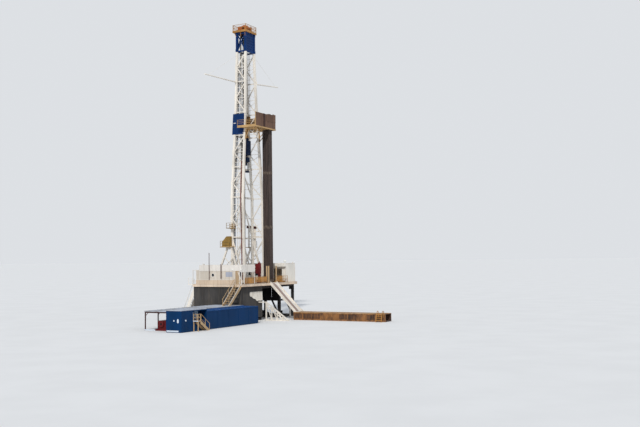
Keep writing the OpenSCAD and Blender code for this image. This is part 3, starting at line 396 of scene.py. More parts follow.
class Shape:
    """Bars, plates and rods gathered into one mesh; their places count from one point of the rig."""

    def __init__(self, x=0.0, y=0.0, z=0.0):
        self.base = (OX + x, OY + y, z)
        self.verts = []
        self.faces = []

    def solid(self, points, faces):
        start = len(self.verts)
        self.verts += [[a + b for a, b in zip(p, self.base)] for p in points]
        self.faces += [[start + i for i in f] for f in faces]

    def prism(self, low, high):
        """Solid between two outlines with the same number of corners."""
        n = len(low)
        sides = [[i, (i + 1) % n, n + (i + 1) % n, n + i] for i in range(n)]
        self.solid(list(low) + list(high), sides + [list(range(n))[::-1], list(range(n, 2 * n))])

    def box(self, x0, y0, z0, x1, y1, z1, at=(0, 0, 0)):
        """Box between two corners that count from at."""
        spans = [sorted((a + c, b + c)) for a, b, c in zip((x0, y0, z0), (x1, y1, z1), at)]
        (x0, x1), (y0, y1), (z0, z1) = spans
        low = [(x0, y0, z0), (x1, y0, z0), (x1, y1, z0), (x0, y1, z0)]
        self.prism(low, [(x, y, z1) for x, y, _ in low])

    def bar(self, p, q, w, d):
        """Straight bar; w runs near x, d near y."""
        p, q = Vector(p), Vector(q)
        along = (q - p).normalized()
        turn = math.atan2(along.x, along.z)
        across = Vector((math.cos(turn), 0, -math.sin(turn)))
        up = along.cross(across)
        corners = [across * (i * w / 2) + up * (j * d / 2) for i, j in ((-1, -1), (1, -1), (1, 1), (-1, 1))]
        self.prism([p + c for c in corners], [q + c for c in corners])

    def rod(self, p, q, r, n=8, r2=None):
        """Round rod, or a cone where r2 is given."""
        p, q = Vector(p), Vector(q)
        along = (q - p).normalized()
        side = along.orthogonal().normalized()
        other = along.cross(side)
        turns = evenly(0, 2 * math.pi / n, n)
        circle = [side * math.cos(a) + other * math.sin(a) for a in turns]
        self.prism([p + c * r for c in circle], [q + c * (r2 or r) for c in circle])

    def post(self, x, y, z0, z1, r, n=8, r2=None):
        """Upright rod."""
        self.rod((x, y, z0), (x, y, z1), r, n, r2)

    def axle(self, x, z, y0, y1, r, n=8):
        """Rod across the rig."""
        self.rod((x, y0, z), (x, y1, z), r, n)

    def cheeks(self, x0, z0, x1, z1, y, inner, outer):
        """Two upright plates, one on each side of y."""
        for side in SIDES:
            self.box(x0, y + side * inner, z0, x1, y + side * outer, z1)

    def route(self, points, r, n=8):
        """Rods from point to point."""
        for p, q in zip(points[:-1], points[1:]):
            self.rod(p, q, r, n)

    def made(self, name, mat, slot, body="rig", bevel=0.0):
        mesh = bpy.data.meshes.new(name)
        mesh.from_pydata(self.verts, [], self.faces)
        mesh.materials.append(mat)
        mesh.update()
        obj = placed(name, mesh)
        if bevel:
            mod = obj.modifiers.new("bevel", "BEVEL")
            mod.width = bevel
            mod.segments = 1
            mod.limit_method = "ANGLE"
        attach(obj, body)
        return obj


# Mast

BAYS = list(zip(LEVELS[:-1], LEVELS[1:]))
FINE = 0.036
lattice = Shape(z=FLOOR)
plates = Shape(z=FLOOR)
for side in SIDES:
    for i, (a, b) in enumerate(BAYS):
        mid = (a + b) / 2
        rear_mid = leg(side, -1, mid)
        diagonals = [(leg(side, 1, a + 0.12), rear_mid), (leg(side, 1, b - 0.05), rear_mid)]
        if i == 0:
            diagonals = [(leg(side, 1, 0.16), leg(side, -1, b - 0.06)),
                         (leg(side, -1, b * 0.52), leg(side, 1, b - 0.06))]
        else:
            lattice.bar(rear_mid, leg(side, 1, mid), FINE, FINE)
        for p, q in diagonals:
            for t in (0.3, 0.62):
                at = p.lerp(q, t)
                slant = 0.35 if q.z > p.z else -0.35
                front_h = min(max(at.z + slant, a + 0.1), b - 0.1)
                for end in (leg(side, -1, at.z), leg(side, 1, front_h)):
                    lattice.bar(at, end, FINE * 0.8, FINE * 0.8)
        # small plates on the outside of the joints
        for at, w, h in ((rear_mid, 0.24, 0.34), (leg(side, 1, a + 0.14), 0.26, 0.30),
                         (leg(side, -1, a + 0.10), 0.24, 0.22)):
            plates.box(-w / 2, side * 0.093, -h / 2, w / 2, side * 0.105, h / 2, at)
    # collars of the legs
    w = LEG / 2 + 0.014
    for front in SIDES:
        for h in LEVELS[1:-1]:
            for z in (0.06, 0.10):
                plates.box(-w, -w, z, w, w, z + 0.025, leg(side, front, h + 0.09))
for i, (a, b) in enumerate(BAYS):
    foot = 0.215 if i == 0 else 0
    for t in (0.34, 0.67):
        ends = [leg(side, -1, a + foot).lerp(leg(0, -1, b), t) for side in SIDES]
        lattice.bar(*ends, FINE, FINE)
        for side, end in zip(SIDES, ends):
            lattice.bar(end, leg(side, -1, a + (b - a) * (t - 0.25)), FINE, FINE)
lattice.made("mast_fine_lattice", white, "white_paint")
plates.made("mast_gusset_plates", white, "white_paint")

# Pipes, cables and their clamps that run up the near legs
RUN_TOP = MAST_H - 0.5
air, mud, cable = [Shape(z=FLOOR) for _ in range(3)]
for run, front, dx, dy, r, low, high in (
        (air, 1, -0.02, 0.135, 0.030, 0.5, RUN_TOP),
        (air, 1, 0.05, 0.135, 0.022, 0.5, 13.0),
        (mud, 1, -0.09, 0.14, 0.026, 0.5, 16.4),
        (mud, -1, 0.02, 0.14, 0.030, 0.6, RUN_TOP),
        (cable, -1, 0.10, 0.15, 0.020, 0.6, 18.6),
        (cable, -1, 0.16, 0.15, 0.020, 0.6, 18.6),
        (cable, -1, 0.22, 0.15, 0.016, 0.6, 16.2),
        (cable, 1, -0.19, 0.11, 0.024, 0.6, 18.4),
        (cable, 1, -0.25, 0.11, 0.024, 7.6, 18.4),
        (cable, 1, -0.31, 0.11, 0.020, 7.6, 18.4)):
    stops = [h for h in (low, KINK, MID_H, high) if low <= h <= high]
    run.route([leg(-1, front, h, dx, dy) for h in stops], r)
clamps = Shape(z=FLOOR)
for front, x0, x1 in ((1, -0.34, 0.09), (-1, -0.02, 0.26)):
    for h in evenly(0.9, 0.95, 19):
        clamps.box(x0, 0.09, -0.012, x1, 0.175, 0.012, leg(-1, front, h))
air.made("mast_air_pipes", tan, "tan_paint")
mud.made("mast_mud_pipes", joint_steel, "pipe_steel")
cable.made("mast_cables", black, "dark_grey_paint")
clamps.made("mast_pipe_clamps", grey, "grey_paint")

# Brackets from the guide rails to the back of the mast
brackets = Shape(XR, 0, FLOOR)
for h in LEVELS[1:-1] + [(a + b) / 2 for a, b in BAYS]:
    for y in (-0.26, 0.26):
        brackets.box(0.03, y - 0.03, h + 0.02, 0.06, y + 0.03, h + 0.20)
    reach = half_w(h) - 0.09
    brackets.bar((0.045, -reach, h + 0.06), (0.045, reach, h + 0.06), 0.03, 0.05)
brackets.made("guide_rail_brackets", white, "white_paint")


# Racking board; heights count from its own floor

BOARD_Z = FLOOR + BOARD_H
board = Shape(z=BOARD_Z)
grate = Shape(z=BOARD_Z)
mast_y = half_w(13.2)
for side in SIDES:
    x0 = -0.02 if side < 0 else -0.85
    # side plates, and slanting bars under the walkways
    board.box(x0 + 0.01, side * BOARD_Y, 0, BOARD_X - 0.03, side * (BOARD_Y - 0.012), 0.09)
    for x in evenly(x0 + 0.25, 0.42, int((BOARD_X - x0) / 0.42)):
        board.bar((x, side * (BOARD_Y - 0.075), -0.10), (x + 0.2, side * (mast_y + 0.14), -0.05), 0.03, 0.03)
    # braces down to the front legs
    for x, h in ((1.15, 12.25), (0.85, 12.55)):
        board.bar((x, side * (BOARD_Y - 0.2), -0.10), leg(side, 1, h, 0.09, 0, -BOARD_H), 0.05, 0.05)
    board.bar(leg(side, 1, 12.25, 0.12, 0, -BOARD_H), leg(side, 1, 13.1, 0.12, 0, -BOARD_H), 0.07, 0.07)
    grate.box(x0 + 0.03, side * (mast_y + 0.13), -0.028, 0.47, side * (BOARD_Y - 0.09), -0.012)
grate.box(0.60, -0.165, -0.028, BOARD_X - 0.10, 0.165, -0.014)
# fingers' end stops and hinge plates
for x in evenly(0.955, 0.09, 9):
    for side in SIDES:
        board.box(x - 0.014, side * 0.15, -0.095, x + 0.014, side * 0.19, 0.02)
        board.box(x - 0.018, side * 1.50, -0.10, x + 0.018, side * 1.565, -0.02)
# posts, top rails and ribs of the wind walls
WALL_H = 1.13
for y in evenly(-1.6, 0.4, 9):
    board.box(BOARD_X - 0.05, y - 0.014, 0, BOARD_X - 0.027, y + 0.014, WALL_H + 0.02)
for x in evenly(-0.8, 0.42, 7):
    board.box(x - 0.014, BOARD_Y - 0.05, 0, x + 0.014, BOARD_Y - 0.027, WALL_H + 0.02)
for z in (0.04, 0.55, WALL_H):
    board.box(BOARD_X - 0.045, -BOARD_Y + 0.02, z - 0.015, BOARD_X - 0.027, BOARD_Y - 0.03, z + 0.015)
    board.box(-0.84, BOARD_Y - 0.045, z - 0.015, BOARD_X - 0.03, BOARD_Y - 0.027, z + 0.015)
# corner post and knee rail of the open side
board.box(BOARD_X - 0.05, -BOARD_Y + 0.002, 0, BOARD_X - 0.004, -BOARD_Y + 0.048, 1.17)
board.rod((0, -BOARD_Y + 0.04, 0.42), (BOARD_X - 0.05, -BOARD_Y + 0.04, 0.42), 0.012, 6)
# clutter that hangs under the board
for _ in range(14):
    y = dice.uniform(-1.35, 1.3)
    x = dice.uniform(1.05, 1.6)
    w, d = dice.uniform(0.03, 0.10), dice.uniform(0.02, 0.05)
    board.box(x, y, -dice.uniform(0.14, 0.32), x + w, y + d, -0.06)
board.made("racking_board_fittings", board_khaki, "yellow_paint")
grate.made("racking_board_grating", plank, "yellow_paint")
# darker sheet of the front wind wall, and sheets that stand higher than the others
dark_sheet = Shape(BOARD_X, 0, BOARD_Z)
dark_sheet.box(-0.004, -0.416, 0.03, 0.008, -0.104, 1.15)
dark_sheet.made("racking_windwall_sheets", rack_brown, "brown_sheet")
tall_sheets = Shape(BOARD_X, 0, BOARD_Z)
for y0, y1, top in ((0.16, 0.46, 1.18), (0.46, 0.80, 1.22), (0.80, 1.12, 1.20), (1.12, 1.36, 1.27),
                    (1.36, 1.62, 1.25)):
    tall_sheets.box(-0.004, y0 + 0.004, 0.55, 0.006, y1 - 0.004, top)
tall_sheets.made("racking_windwall_extensions", brown, "brown_sheet")

# Tool joints of the pipe stands
PIPE_LO, PIPE_HI = rig_box("pipe_stands")
PIPE_PITCH, PIPE_R, LEAN = 0.09, 0.032, -0.06
first_x, last_y = PIPE_LO[0] + PIPE_R, PIPE_HI[1] - PIPE_R
cols = round((PIPE_HI[0] - PIPE_R - first_x) / PIPE_PITCH) + 1
rows = round((last_y - PIPE_LO[1] - PIPE_R + LEAN) / PIPE_PITCH) + 1
joints = Shape()
for x in evenly(first_x, PIPE_PITCH, cols):
    for j in range(rows):
        foot = Vector((x, last_y - (rows - 1 - j) * PIPE_PITCH, PIPE_LO[2]))
        head = foot + Vector((0, LEAN, PIPE_HI[2] - PIPE_LO[2]))
        for t in (0.010, 1 / 3, 2 / 3, 0.994):
            t += dice.uniform(-0.004, 0.004)
            low = t - 0.008 if t < 0.98 else 0.984
            joints.rod(foot.lerp(head, low), foot.lerp(head, min(t + 0.008, 0.9995)), 0.041, 10)
joints.made("pipe_tool_joints", joint_steel, "pipe_steel")


# Crown

(cx0, _, crown_low), (cx1, cy, _) = rig_box("crown_platform")
CROWN_Z = crown_low + 0.12
crown = Shape(z=CROWN_Z)
for y in (-cy + 0.005, cy - 0.02):
    crown.box(cx0 + 0.01, y, 0, cx1 - 0.01, y + 0.015, 0.06)
for x in (cx0 + 0.005, cx1 - 0.02):
    crown.box(x, -cy + 0.02, 0, x + 0.015, cy - 0.02, 0.06)
uprights = [(x, y) for x in between(cx0 + 0.1, cx1 - 0.1, 11) for y in (-cy + 0.03, cy - 0.03)]
uprights += [(x, y) for y in between(-cy + 0.1, cy - 0.1, 13) for x in (cx0 + 0.03, cx1 - 0.03)]
for x, y in uprights:
    crown.post(x, y, 0.1, 0.545, 0.007, 5)
# brackets under the platform
for y in (-cy + 0.1, cy - 0.1):
    mast_y = math.copysign(TOP_W / 2 + 0.09, y)
    for x in (cx0 + 0.15, WELL_X, cx1 - 0.15):
        crown.bar((x, y, -0.12), (max(min(x, 0.28), -0.64), mast_y, -0.47), 0.04, 0.04)
crown.made("crown_rail_panels", yellow, "yellow_paint")

sheaves = Shape(z=CROWN_Z)
AXLE_H = 0.32
for i in range(-2, 3):
    for y in (i * 0.1 - 0.036, i * 0.1 + 0.024):
        sheaves.axle(WELL_X, AXLE_H, y, y + 0.012, 0.299, 32)
for side in SIDES:
    sheaves.axle(WELL_X, AXLE_H, side * 0.315, side * 0.365, 0.10, 16)
    for x in (-0.62, -0.3, 0.05, 0.2):
        sheaves.box(x, side * 0.365, 0, x + 0.02, side * 0.42, 0.42)
sheaves.made("crown_sheave_rims", orange, "orange_paint")

# Plates and ribs of the blue head of the mast
head_z0, head_z1 = [corner[2] for corner in rig_box("mast_top_section")]
head_x = front_x(MAST_H)
head = Shape()
for side in SIDES:
    y = side * (TOP_W / 2 + LEG / 2)
    for x in (XR, head_x):
        for z in (head_z0 + 0.05, head_z1 - 0.22):
            head.box(x - 0.11, y, z, x + 0.11, y + side * 0.014, z + 0.2)
for z in evenly(head_z0 + 0.28, 0.24, 6):
    head.box(head_x + 0.042, -TOP_W / 2 + 0.1, z, head_x + 0.06, TOP_W / 2 - 0.1, z + 0.03)
head.made("mast_head_plates", blue, "blue_paint")


# Travelling gear, on the hoist

block_lo, block_hi = rig_box("travelling_block")
BLOCK_Z = block_lo[2] + 0.7
BLOCK_H = block_hi[2] - BLOCK_Z
block = Shape(WELL_X, 0, BLOCK_Z)
for side in SIDES:
    y = side * 0.285
    for x in (-0.2, 0, 0.2):
        block.box(x - 0.02, y, 0.06, x + 0.02, y + side * 0.02, BLOCK_H - 0.06)
    block.axle(0, 0.64, y, y + side * 0.03, 0.14, 20)
    for z in (0.08, BLOCK_H - 0.1):
        for x in (-0.24, -0.1, 0.1, 0.24):
            block.axle(x, z, y, y + side * 0.03, 0.02, 6)
    block.post(0, side * 0.20, -0.62, 0.02, 0.045, 12)
block.made("travelling_block_ribs", yellow, "yellow_paint", body="hoist")

drive_top = rig_box("top_drive")[1][2]
drive = Shape(WELL_X, 0, drive_top)
drive_steel = Shape(WELL_X, 0, drive_top)
for side in SIDES:
    drive.post(0.02, side * 0.18, -0.28, -0.02, 0.12, 16)
    drive.box(-0.2, side * 0.33, -1.44, 0.2, side * 0.336, -0.32)
    for z in (-0.45, -0.8, -1.15):
        drive.box(-0.26, side * 0.33, z - 0.02, 0.26, side * 0.345, z + 0.02)
    drive_steel.post(0, side * 0.28, -1.45, -2.86, 0.045, 10)
    drive_steel.rod((-0.03, side * 0.28, -2.86), (0.03, side * 0.28, -2.86), 0.075, 16)
for x in (-0.275, 0.265):
    drive.box(x, -0.28, -1.40, x + 0.01, 0.28, -0.35)
for z in evenly(-0.45, -0.16, 6):
    drive.box(0.27, -0.26, z, 0.285, 0.26, z + 0.06)
for z, r in ((-1.62, 0.20), (-2.05, 0.17)):
    drive_steel.post(0, 0, z, z - 0.1, r, 20)
drive.made("top_drive_covers", drive_blue, "grey_paint", body="hoist")
drive_steel.made("top_drive_links", joint_steel, "grey_paint", body="hoist")


# Floor and houses; heights count from the floor

(dog_x0, _, _), (dog_x1, dog_y1, dog_top) = rig_box("doghouse_walls")
_, (_, far_y1, far_top) = rig_box("far_side_house")
DOG_H, FAR_H = dog_top - FLOOR, far_top - FLOOR
FAR_Y = far_y1 - 1.6
LAND_X = rig_box("landing_walls")[0][0]
BAND = DOG_H - 0.43
ROUND_X, ROUND_H = -0.275, DOG_H * 0.49
DOOR_X0, DOOR_X1 = 1.865, 2.315
LAMP_X, LAMP_Y = 1.9, 2.95


def door_frame(shape, x0, x1, y, depth, top=1.18):
    """Two posts and a lintel on the near face of a wall."""
    for x in (x0, x1 - 0.03):
        shape.box(x, y - depth, 0.002, x + 0.03, y, top - 0.01)
    shape.box(x0, y - depth, top - 0.03, x1, y, top)


def ring(shape, x, y, z, r_out, r_in, depth, n=32):
    """Flat ring standing in a wall that faces y."""
    pts = [(x + r * math.cos(a), y + d, z + r * math.sin(a))
           for d in (0, depth) for r in (r_out, r_in) for a in evenly(0, 2 * math.pi / n, n)]
    rims = ((0, n), (n, 3 * n), (3 * n, 2 * n), (2 * n, 0))
    shape.solid(pts, [[a + i, a + (i + 1) % n, b + (i + 1) % n, b + i] for i in range(n) for a, b in rims])


trim = Shape(z=FLOOR)
for x in (LAND_X, dog_x0, dog_x1 - 0.05, 2.25):
    trim.box(x, NEAR - 0.008, 0.002, x + 0.05, NEAR, BAND)
for x in (-1.12, -0.02, 0.72):
    trim.box(x, NEAR - 0.005, 0.37, x + 0.022, NEAR, BAND)
trim.box(LAND_X, NEAR - 0.03, 0.345, 1.88, NEAR, 0.375)
ring(trim, ROUND_X, NEAR - 0.014, ROUND_H, 0.16, 0.125, 0.03)
# frame of the shut door and the brace beside it
door_frame(trim, DOOR_X0, DOOR_X1, NEAR, 0.014)
trim.route([(2.17, NEAR - 0.03, 0.99), (2.485, NEAR - 0.03, 0.17), (2.485, NEAR - 0.02, -0.10)], 0.022)
# seams, vent and eaves of the roofs
for x in evenly(dog_x0 + 0.25, 0.5, 8):
    trim.box(x, NEAR - 0.015, DOG_H + 0.045, x + 0.022, dog_y1, DOG_H + 0.064)
for x in evenly(dog_x0 + 0.45, 0.62, 6):
    trim.box(x, NEAR - 0.027, BAND + 0.01, x + 0.025, NEAR - 0.02, DOG_H)
trim.box(dog_x0 + 0.27, NEAR + 0.02, DOG_H + 0.05, dog_x0 + 0.41, NEAR + 0.14, DOG_H + 0.15)
trim.box(dog_x0 + 0.25, NEAR, DOG_H + 0.15, dog_x0 + 0.43, NEAR + 0.16, DOG_H + 0.165)
for y in (NEAR + 0.3, NEAR + 0.75, -3.35):
    trim.box(1.55, y, DOG_H + 0.045, FRONT, y + 0.02, DOG_H + 0.06)
for z in (BAND - 0.08, DOG_H - 0.12):
    trim.box(FRONT - 0.002, NEAR, z, FRONT + 0.006, dog_y1 + 0.69, z + 0.02)
# far house: corner posts, doorway frame, eaves and roof fittings
for x, y in ((BACK, FAR_Y), (FRONT - 0.25, FAR_Y), (FRONT - 0.25, FAR - 0.05)):
    trim.box(x, y - 0.007, 0.002, x + 0.056, y + 0.05, FAR_H - 0.28)
door_frame(trim, 1.0, 1.92, FAR_Y, 0.012)
trim.box(BACK - 0.01, FAR_Y - 0.02, FAR_H, FRONT - 0.19, FAR + 0.01, FAR_H + 0.02)
for x in evenly(BACK + 0.3, 0.6, 8):
    trim.box(x, FAR_Y - 0.01, FAR_H + 0.02, x + 0.022, FAR, FAR_H + 0.04)
trim.post(2.15, 3.9, FAR_H, FAR_H + 0.13, 0.06, 12)
trim.made("house_trim", roof_white, "white_paint", bevel=0.002)

lamps = Shape(z=FLOOR)
lamps.post(LAMP_X, LAMP_Y, FAR_H, FAR_H + 0.10, 0.03)
for z, r, r2 in ((0.10, 0.07, 0.13), (0.16, 0.13, 0.13), (0.23, 0.13, 0.06)):
    lamps.post(LAMP_X, LAMP_Y, FAR_H + z, FAR_H + z + 0.07, r, 20, r2)
for x in (1.62, 2.44):
    lamps.box(x - 0.05, NEAR - 0.05, BAND + 0.06, x + 0.05, NEAR - 0.02, BAND + 0.16)
lamps.made("house_lamps", lamp_white, "white_paint", bevel=0.004)

skirt = Shape(0, NEAR, FLOOR)
for x0, x1 in ((LAND_X, DOOR_X0), (DOOR_X1, FRONT - 0.01)):
    skirt.box(x0, -0.016, -0.005, x1, -0.0005, 0.345)
for x in evenly(LAND_X, 0.3, 13):
    skirt.box(x, -0.021, -0.002, x + 0.018, -0.01, 0.34)
skirt.made("house_skirt", skirt_tan, "tan_paint", bevel=0.002)

door = Shape(0, NEAR, FLOOR)
door.box(1.8905, -0.002, 0.01, 2.2895, 0.012, 1.145)
for z in (0.15, 0.65):
    door.box(1.94, -0.008, z, 2.24, 0, z + 0.38)
door.axle(2.24, 0.55, -0.035, 0, 0.012)
door.made("landing_door_leaf", door_tan, "tan_paint", bevel=0.002)

plate = Shape(0, NEAR, FLOOR)
plate.box(0.98, -0.014, 0.60, 1.62, -0.0005, 0.99)
plate.made("bare_plate", plate_grey, "white_paint", bevel=0.003)

panes = Shape(z=FLOOR)
panes.axle(ROUND_X, ROUND_H, NEAR + 0.012, NEAR + 0.02, 0.126, 32)
frames = Shape(z=FLOOR)
for x0, x1, y in ((-1.4, -0.6, dog_y1 - 0.025), (-0.3, 0.9, dog_y1 - 0.025), (-1.6, -0.5, FAR_Y + 0.025)):
    panes.box(x0 + 0.01, y - 0.003, 0.555, x1 - 0.01, y + 0.003, 1.145)
    for x in between(x0, x1, round((x1 - x0) / 0.4)):
        frames.box(x - 0.016, y - 0.03, 0.55, x + 0.016, y + 0.03, 1.15)
    for z in (0.56, 1.14):
        frames.box(x0, y - 0.03, z - 0.016, x1, y + 0.03, z + 0.016)
panes.made("house_window_panes", window, "dark_grey_paint")
frames.made("house_window_frames", white, "white_paint")

# Tread plates on the floor, edge angles and the panels behind the front rails
treads = Shape(z=FLOOR)
for x in evenly(BACK + 0.06, 0.94, 5):
    for y in evenly(dog_y1 + 0.05, 0.755, 8):
        if abs(x + 0.46 - WELL_X) > 0.72 or abs(y + 0.37) > 0.62:
            treads.box(x, y, -0.002, x + 0.925, y + 0.74, 0.003)
treads.made("floor_tread_plates", plank, "tan_paint")

edges = Shape(z=FLOOR)
for z in (-0.212, -0.012):
    for x0, y0, x1, y1 in ((BACK, NEAR - 0.018, FRONT, NEAR), (FRONT, NEAR, FRONT + 0.018, -0.55),
                           (FRONT, 0.55, FRONT + 0.018, FAR), (BACK - 0.018, -2.9, BACK, FAR),
                           (BACK, FAR, FRONT, FAR + 0.018)):
        edges.box(x0, y0, z, x1, y1, z + 0.012)
for x in evenly(BACK + 0.25, 0.53, 9):
    for y in (NEAR - 0.014, FAR):
        edges.box(x, y, -0.205, x + 0.012, y + 0.014, -0.01)
for y in evenly(NEAR + 0.2, 0.54, 17):
    if abs(y) > 0.6:
        edges.box(FRONT, y, -0.205, FRONT + 0.014, y + 0.012, -0.01)
edges.made("floor_edge_angles", deck, "tan_paint")

infill = Shape(FRONT, 0, FLOOR)
for y0, y1, x, z0, z1 in ((-2.86, -1.02, -0.055, 0.12, 0.51), (0.62, 1.62, -0.055, 0.12, 0.51),
                          (NEAR + 0.54, -3.02, -0.03, 0.03, 0.48)):
    count = round((y1 - y0) / 0.19)
    step = (y1 - y0) / count
    for y in evenly(y0, step, count):
        infill.box(x, y + 0.006, z0, x + 0.006, y + step - 0.03, z1)
    for z in (z0 + 0.02, z1 - 0.03):
        infill.box(x + 0.004, y0, z, x + 0.016, y1, z + 0.025)
for y in (NEAR + 0.49, -3.0):
    infill.box(-0.04, y, 0.002, -0.01, y + 0.03, 0.52)
infill.axle(-0.025, 0.52, NEAR + 0.49, -2.97, 0.014)
infill.made("front_rail_panels", rail_ochre, "yellow_paint")

# Drawworks: drum flanges, guards, rope and motor
DRUM_X, DRUM_H = -1.6, 0.56
winch = Shape(z=FLOOR)
winch_rope = Shape(z=FLOOR)
for side in SIDES:
    winch.axle(DRUM_X, DRUM_H, side * 0.46, side * 0.49, 0.36, 32)
    winch.axle(DRUM_X, DRUM_H, side * 0.70, side * 0.74, 0.16, 20)
    winch_rope.axle(DRUM_X, DRUM_H, side * 0.40, side * 0.45, 0.335, 32)
    for x in evenly(-2.05, 0.27, 4):
        winch.box(x, side * 0.70, 0.14, x + 0.04, side * 0.715, 0.86)
for y in evenly(-0.38, 0.035, 22):
    winch_rope.axle(DRUM_X, DRUM_H, y, y + 0.026, 0.252, 24)
winch.box(-2.15, -0.56, 0.86, -1.92, 0.56, 0.89)
winch.box(-2.14, -0.56, 0.14, -2.12, 0.56, 0.86)
for y in evenly(-0.5, 0.19, 6):
    winch.box(-2.15, y, 0.2, -2.138, y + 0.06, 0.82)
MOTOR_X, MOTOR_H = -1.19, 0.30
winch.axle(MOTOR_X, MOTOR_H, -0.42, 0.42, 0.12, 20)
for y in (-0.3, -0.1, 0.1, 0.3):
    winch.axle(MOTOR_X, MOTOR_H, y, y + 0.02, 0.135, 20)
winch.made("drawworks_guards", blue, "blue_paint", bevel=0.003)
winch_rope.made("drawworks_drum_rope", rope, "wire_rope")

# Pins, joint plates and lacing of the rear frames
A_Y = BASE_W / 2 + 0.255
A_H = rig_box("a_frames")[1][2] - FLOOR
pins = Shape(z=FLOOR)
for y in (-A_Y, A_Y):
    for x in (-2.16, 0.42):
        pins.cheeks(x - 0.06, 0.08, x + 0.08, 0.28, y, 0.073, 0.085)
        pins.axle(x, 0.17, y - 0.11, y + 0.11, 0.03, 12)
    for x in (-0.98, -0.54):
        pins.axle(x, A_H - 0.06, y - 0.095, y + 0.095, 0.035, 12)
    for x in (-1.56, -0.12):
        pins.box(x - 0.12, y - 0.078, 1.22, x + 0.12, y + 0.078, 1.235)
        pins.cheeks(x - 0.10, 1.20, x + 0.10, 1.48, y, 0.062, 0.074)
    for x0, z0, x1, z1 in ((-1.82, 0.86, -0.86, 1.30), (0.20, 0.70, -0.86, 1.30),
                           (-1.26, 2.2, -0.45, 1.38), (-0.31, 2.2, -1.20, 1.38)):
        pins.bar((x0, y, z0), (x1, y, z1), 0.05, 0.05)
pins.made("a_frame_pins_and_lacing", white, "white_paint")
# posts with brown caps on the far rear frame, tied to the mast's leg
posts = Shape(0, A_Y, FLOOR)
caps = Shape(0, A_Y, FLOOR)
for x, w, top in ((-1.12, 0.10, 4.74), (-0.80, 0.10, 4.74), (-0.48, 0.16, 4.68)):
    posts.box(x - w / 2, -0.06, A_H - 0.02, x + w / 2, 0.06, top)
for z in (3.96, 4.40):
    posts.box(-1.16, -0.03, z, 0.34, 0.03, z + 0.07)
    posts.box(0.30, BASE_W / 2 + 0.06 - A_Y, z, 0.37, 0.03, z + 0.07)
for x0, x1, z0, z1 in ((-1.30, -0.88, 4.74, 4.96), (-0.60, -0.35, 4.68, 4.94), (-1.0, -0.84, 4.60, 4.74)):
    caps.box(x0, -0.09, z0, x1, 0.09, z1)
posts.made("far_frame_posts", white, "white_paint", bevel=0.003)
caps.made("far_frame_caps", post_red, "brown_sheet", bevel=0.004)

# Ribs and ledges of the service housing on the near rear frame
HOUSE_H = A_H + 0.05
housing = Shape(0, -A_Y, FLOOR + HOUSE_H)
for x in (-1.02, -0.84, -0.66):
    housing.box(x, -0.216, 0.06, x + 0.02, -0.205, 0.72)
for z in (0.10, 0.80):
    housing.box(-1.02, -0.216, z, -0.58, -0.205, z + 0.02)
housing.made("service_housing_ribs", bright_yellow, "yellow_paint")
ledges = Shape(0, -A_Y, FLOOR)
ledges.box(-1.43, -0.22, HOUSE_H - 0.02, -0.34, 0.20, HOUSE_H + 0.04)
for z0, z1 in ((4.58, 4.68), (4.76, 4.84), (4.94, 4.98)):
    ledges.box(-0.66, -0.10, z0, -0.16, -0.07, z1)
for x in (-0.66, -0.42, -0.20):
    ledges.box(x, -0.10, 4.58, x + 0.04, -0.06, 5.04)
    ledges.box(x, -0.08, 4.58, x + 0.04, A_Y - BASE_W / 2 - 0.05, 4.64)
ledges.made("service_ledges", pale_edge, "tan_paint", bevel=0.003)


# Substructure

TRUSS_X = (-2.1, -0.7, 0.7, 2.1)
TRUSS_Y = (-4.70, -1.60, 1.60, 3.90)
UNDER = FLOOR - 0.22
steelwork = Shape()
for y in TRUSS_Y:
    for k, x in enumerate(TRUSS_X):
        start = x - 0.10 if k in (0, 2) else x - 0.30
        for z in (0.19, UNDER - 0.46):
            steelwork.cheeks(start, z, start + 0.40, z + 0.27, y, 0.10, 0.112)
        for z in (0.02, 0.165):
            steelwork.box(x - 0.15, y - 0.13, z, x + 0.15, y + 0.13, z + 0.012)
        for z in (0.9, 1.7):
            steelwork.cheeks(x - 0.08, z, x + 0.08, z + 0.12, y, 0.10, 0.108)
for x in evenly(-1.95, 0.45, 10):
    if min(abs(x - t) for t in TRUSS_X) < 0.12:
        continue
    spans = [(-4.58, -1.72), (1.72, 3.78)]
    if abs(x - WELL_X) > 0.55:
        spans.append((-1.48, 1.48))
    for y0, y1 in spans:
        steelwork.box(x - 0.03, y0, UNDER - 0.16, x + 0.03, y1, UNDER - 0.001)
for y in (-0.62, 0.62):
    steelwork.box(-1.98, y - 0.04, UNDER - 0.2, 1.98, y + 0.04, UNDER - 0.001)
# posts and rails that carry the wind walls
for x in evenly(BACK + 0.12, 0.9, 6):
    steelwork.box(x - 0.03, -4.80, 0.30, x + 0.03, -4.77, UNDER - 0.004)
for z in (0.34, 1.2, 2.1, 2.74):
    steelwork.box(BACK + 0.11, -4.80, z, FRONT - 0.31, -4.775, z + 0.05)
steelwork.made("substructure_plates_and_joists", dark, "dark_grey_paint")

# Sheets that close the far side of the well bay, near black: painted shade for the dark inside of the bay
bay = Shape()
for x in evenly(-2.09, 0.7, 6):
    bay.box(x, 1.47, 1.45, x + 0.68, 1.482, UNDER - 0.005)
for z in (1.45, 2.1, UNDER - 0.05):
    bay.box(-2.09, 1.45, z, 2.09, 1.47, z + 0.045)
bay.made("well_bay_shade_sheets", bay_shade_paint, "dark_grey_paint")

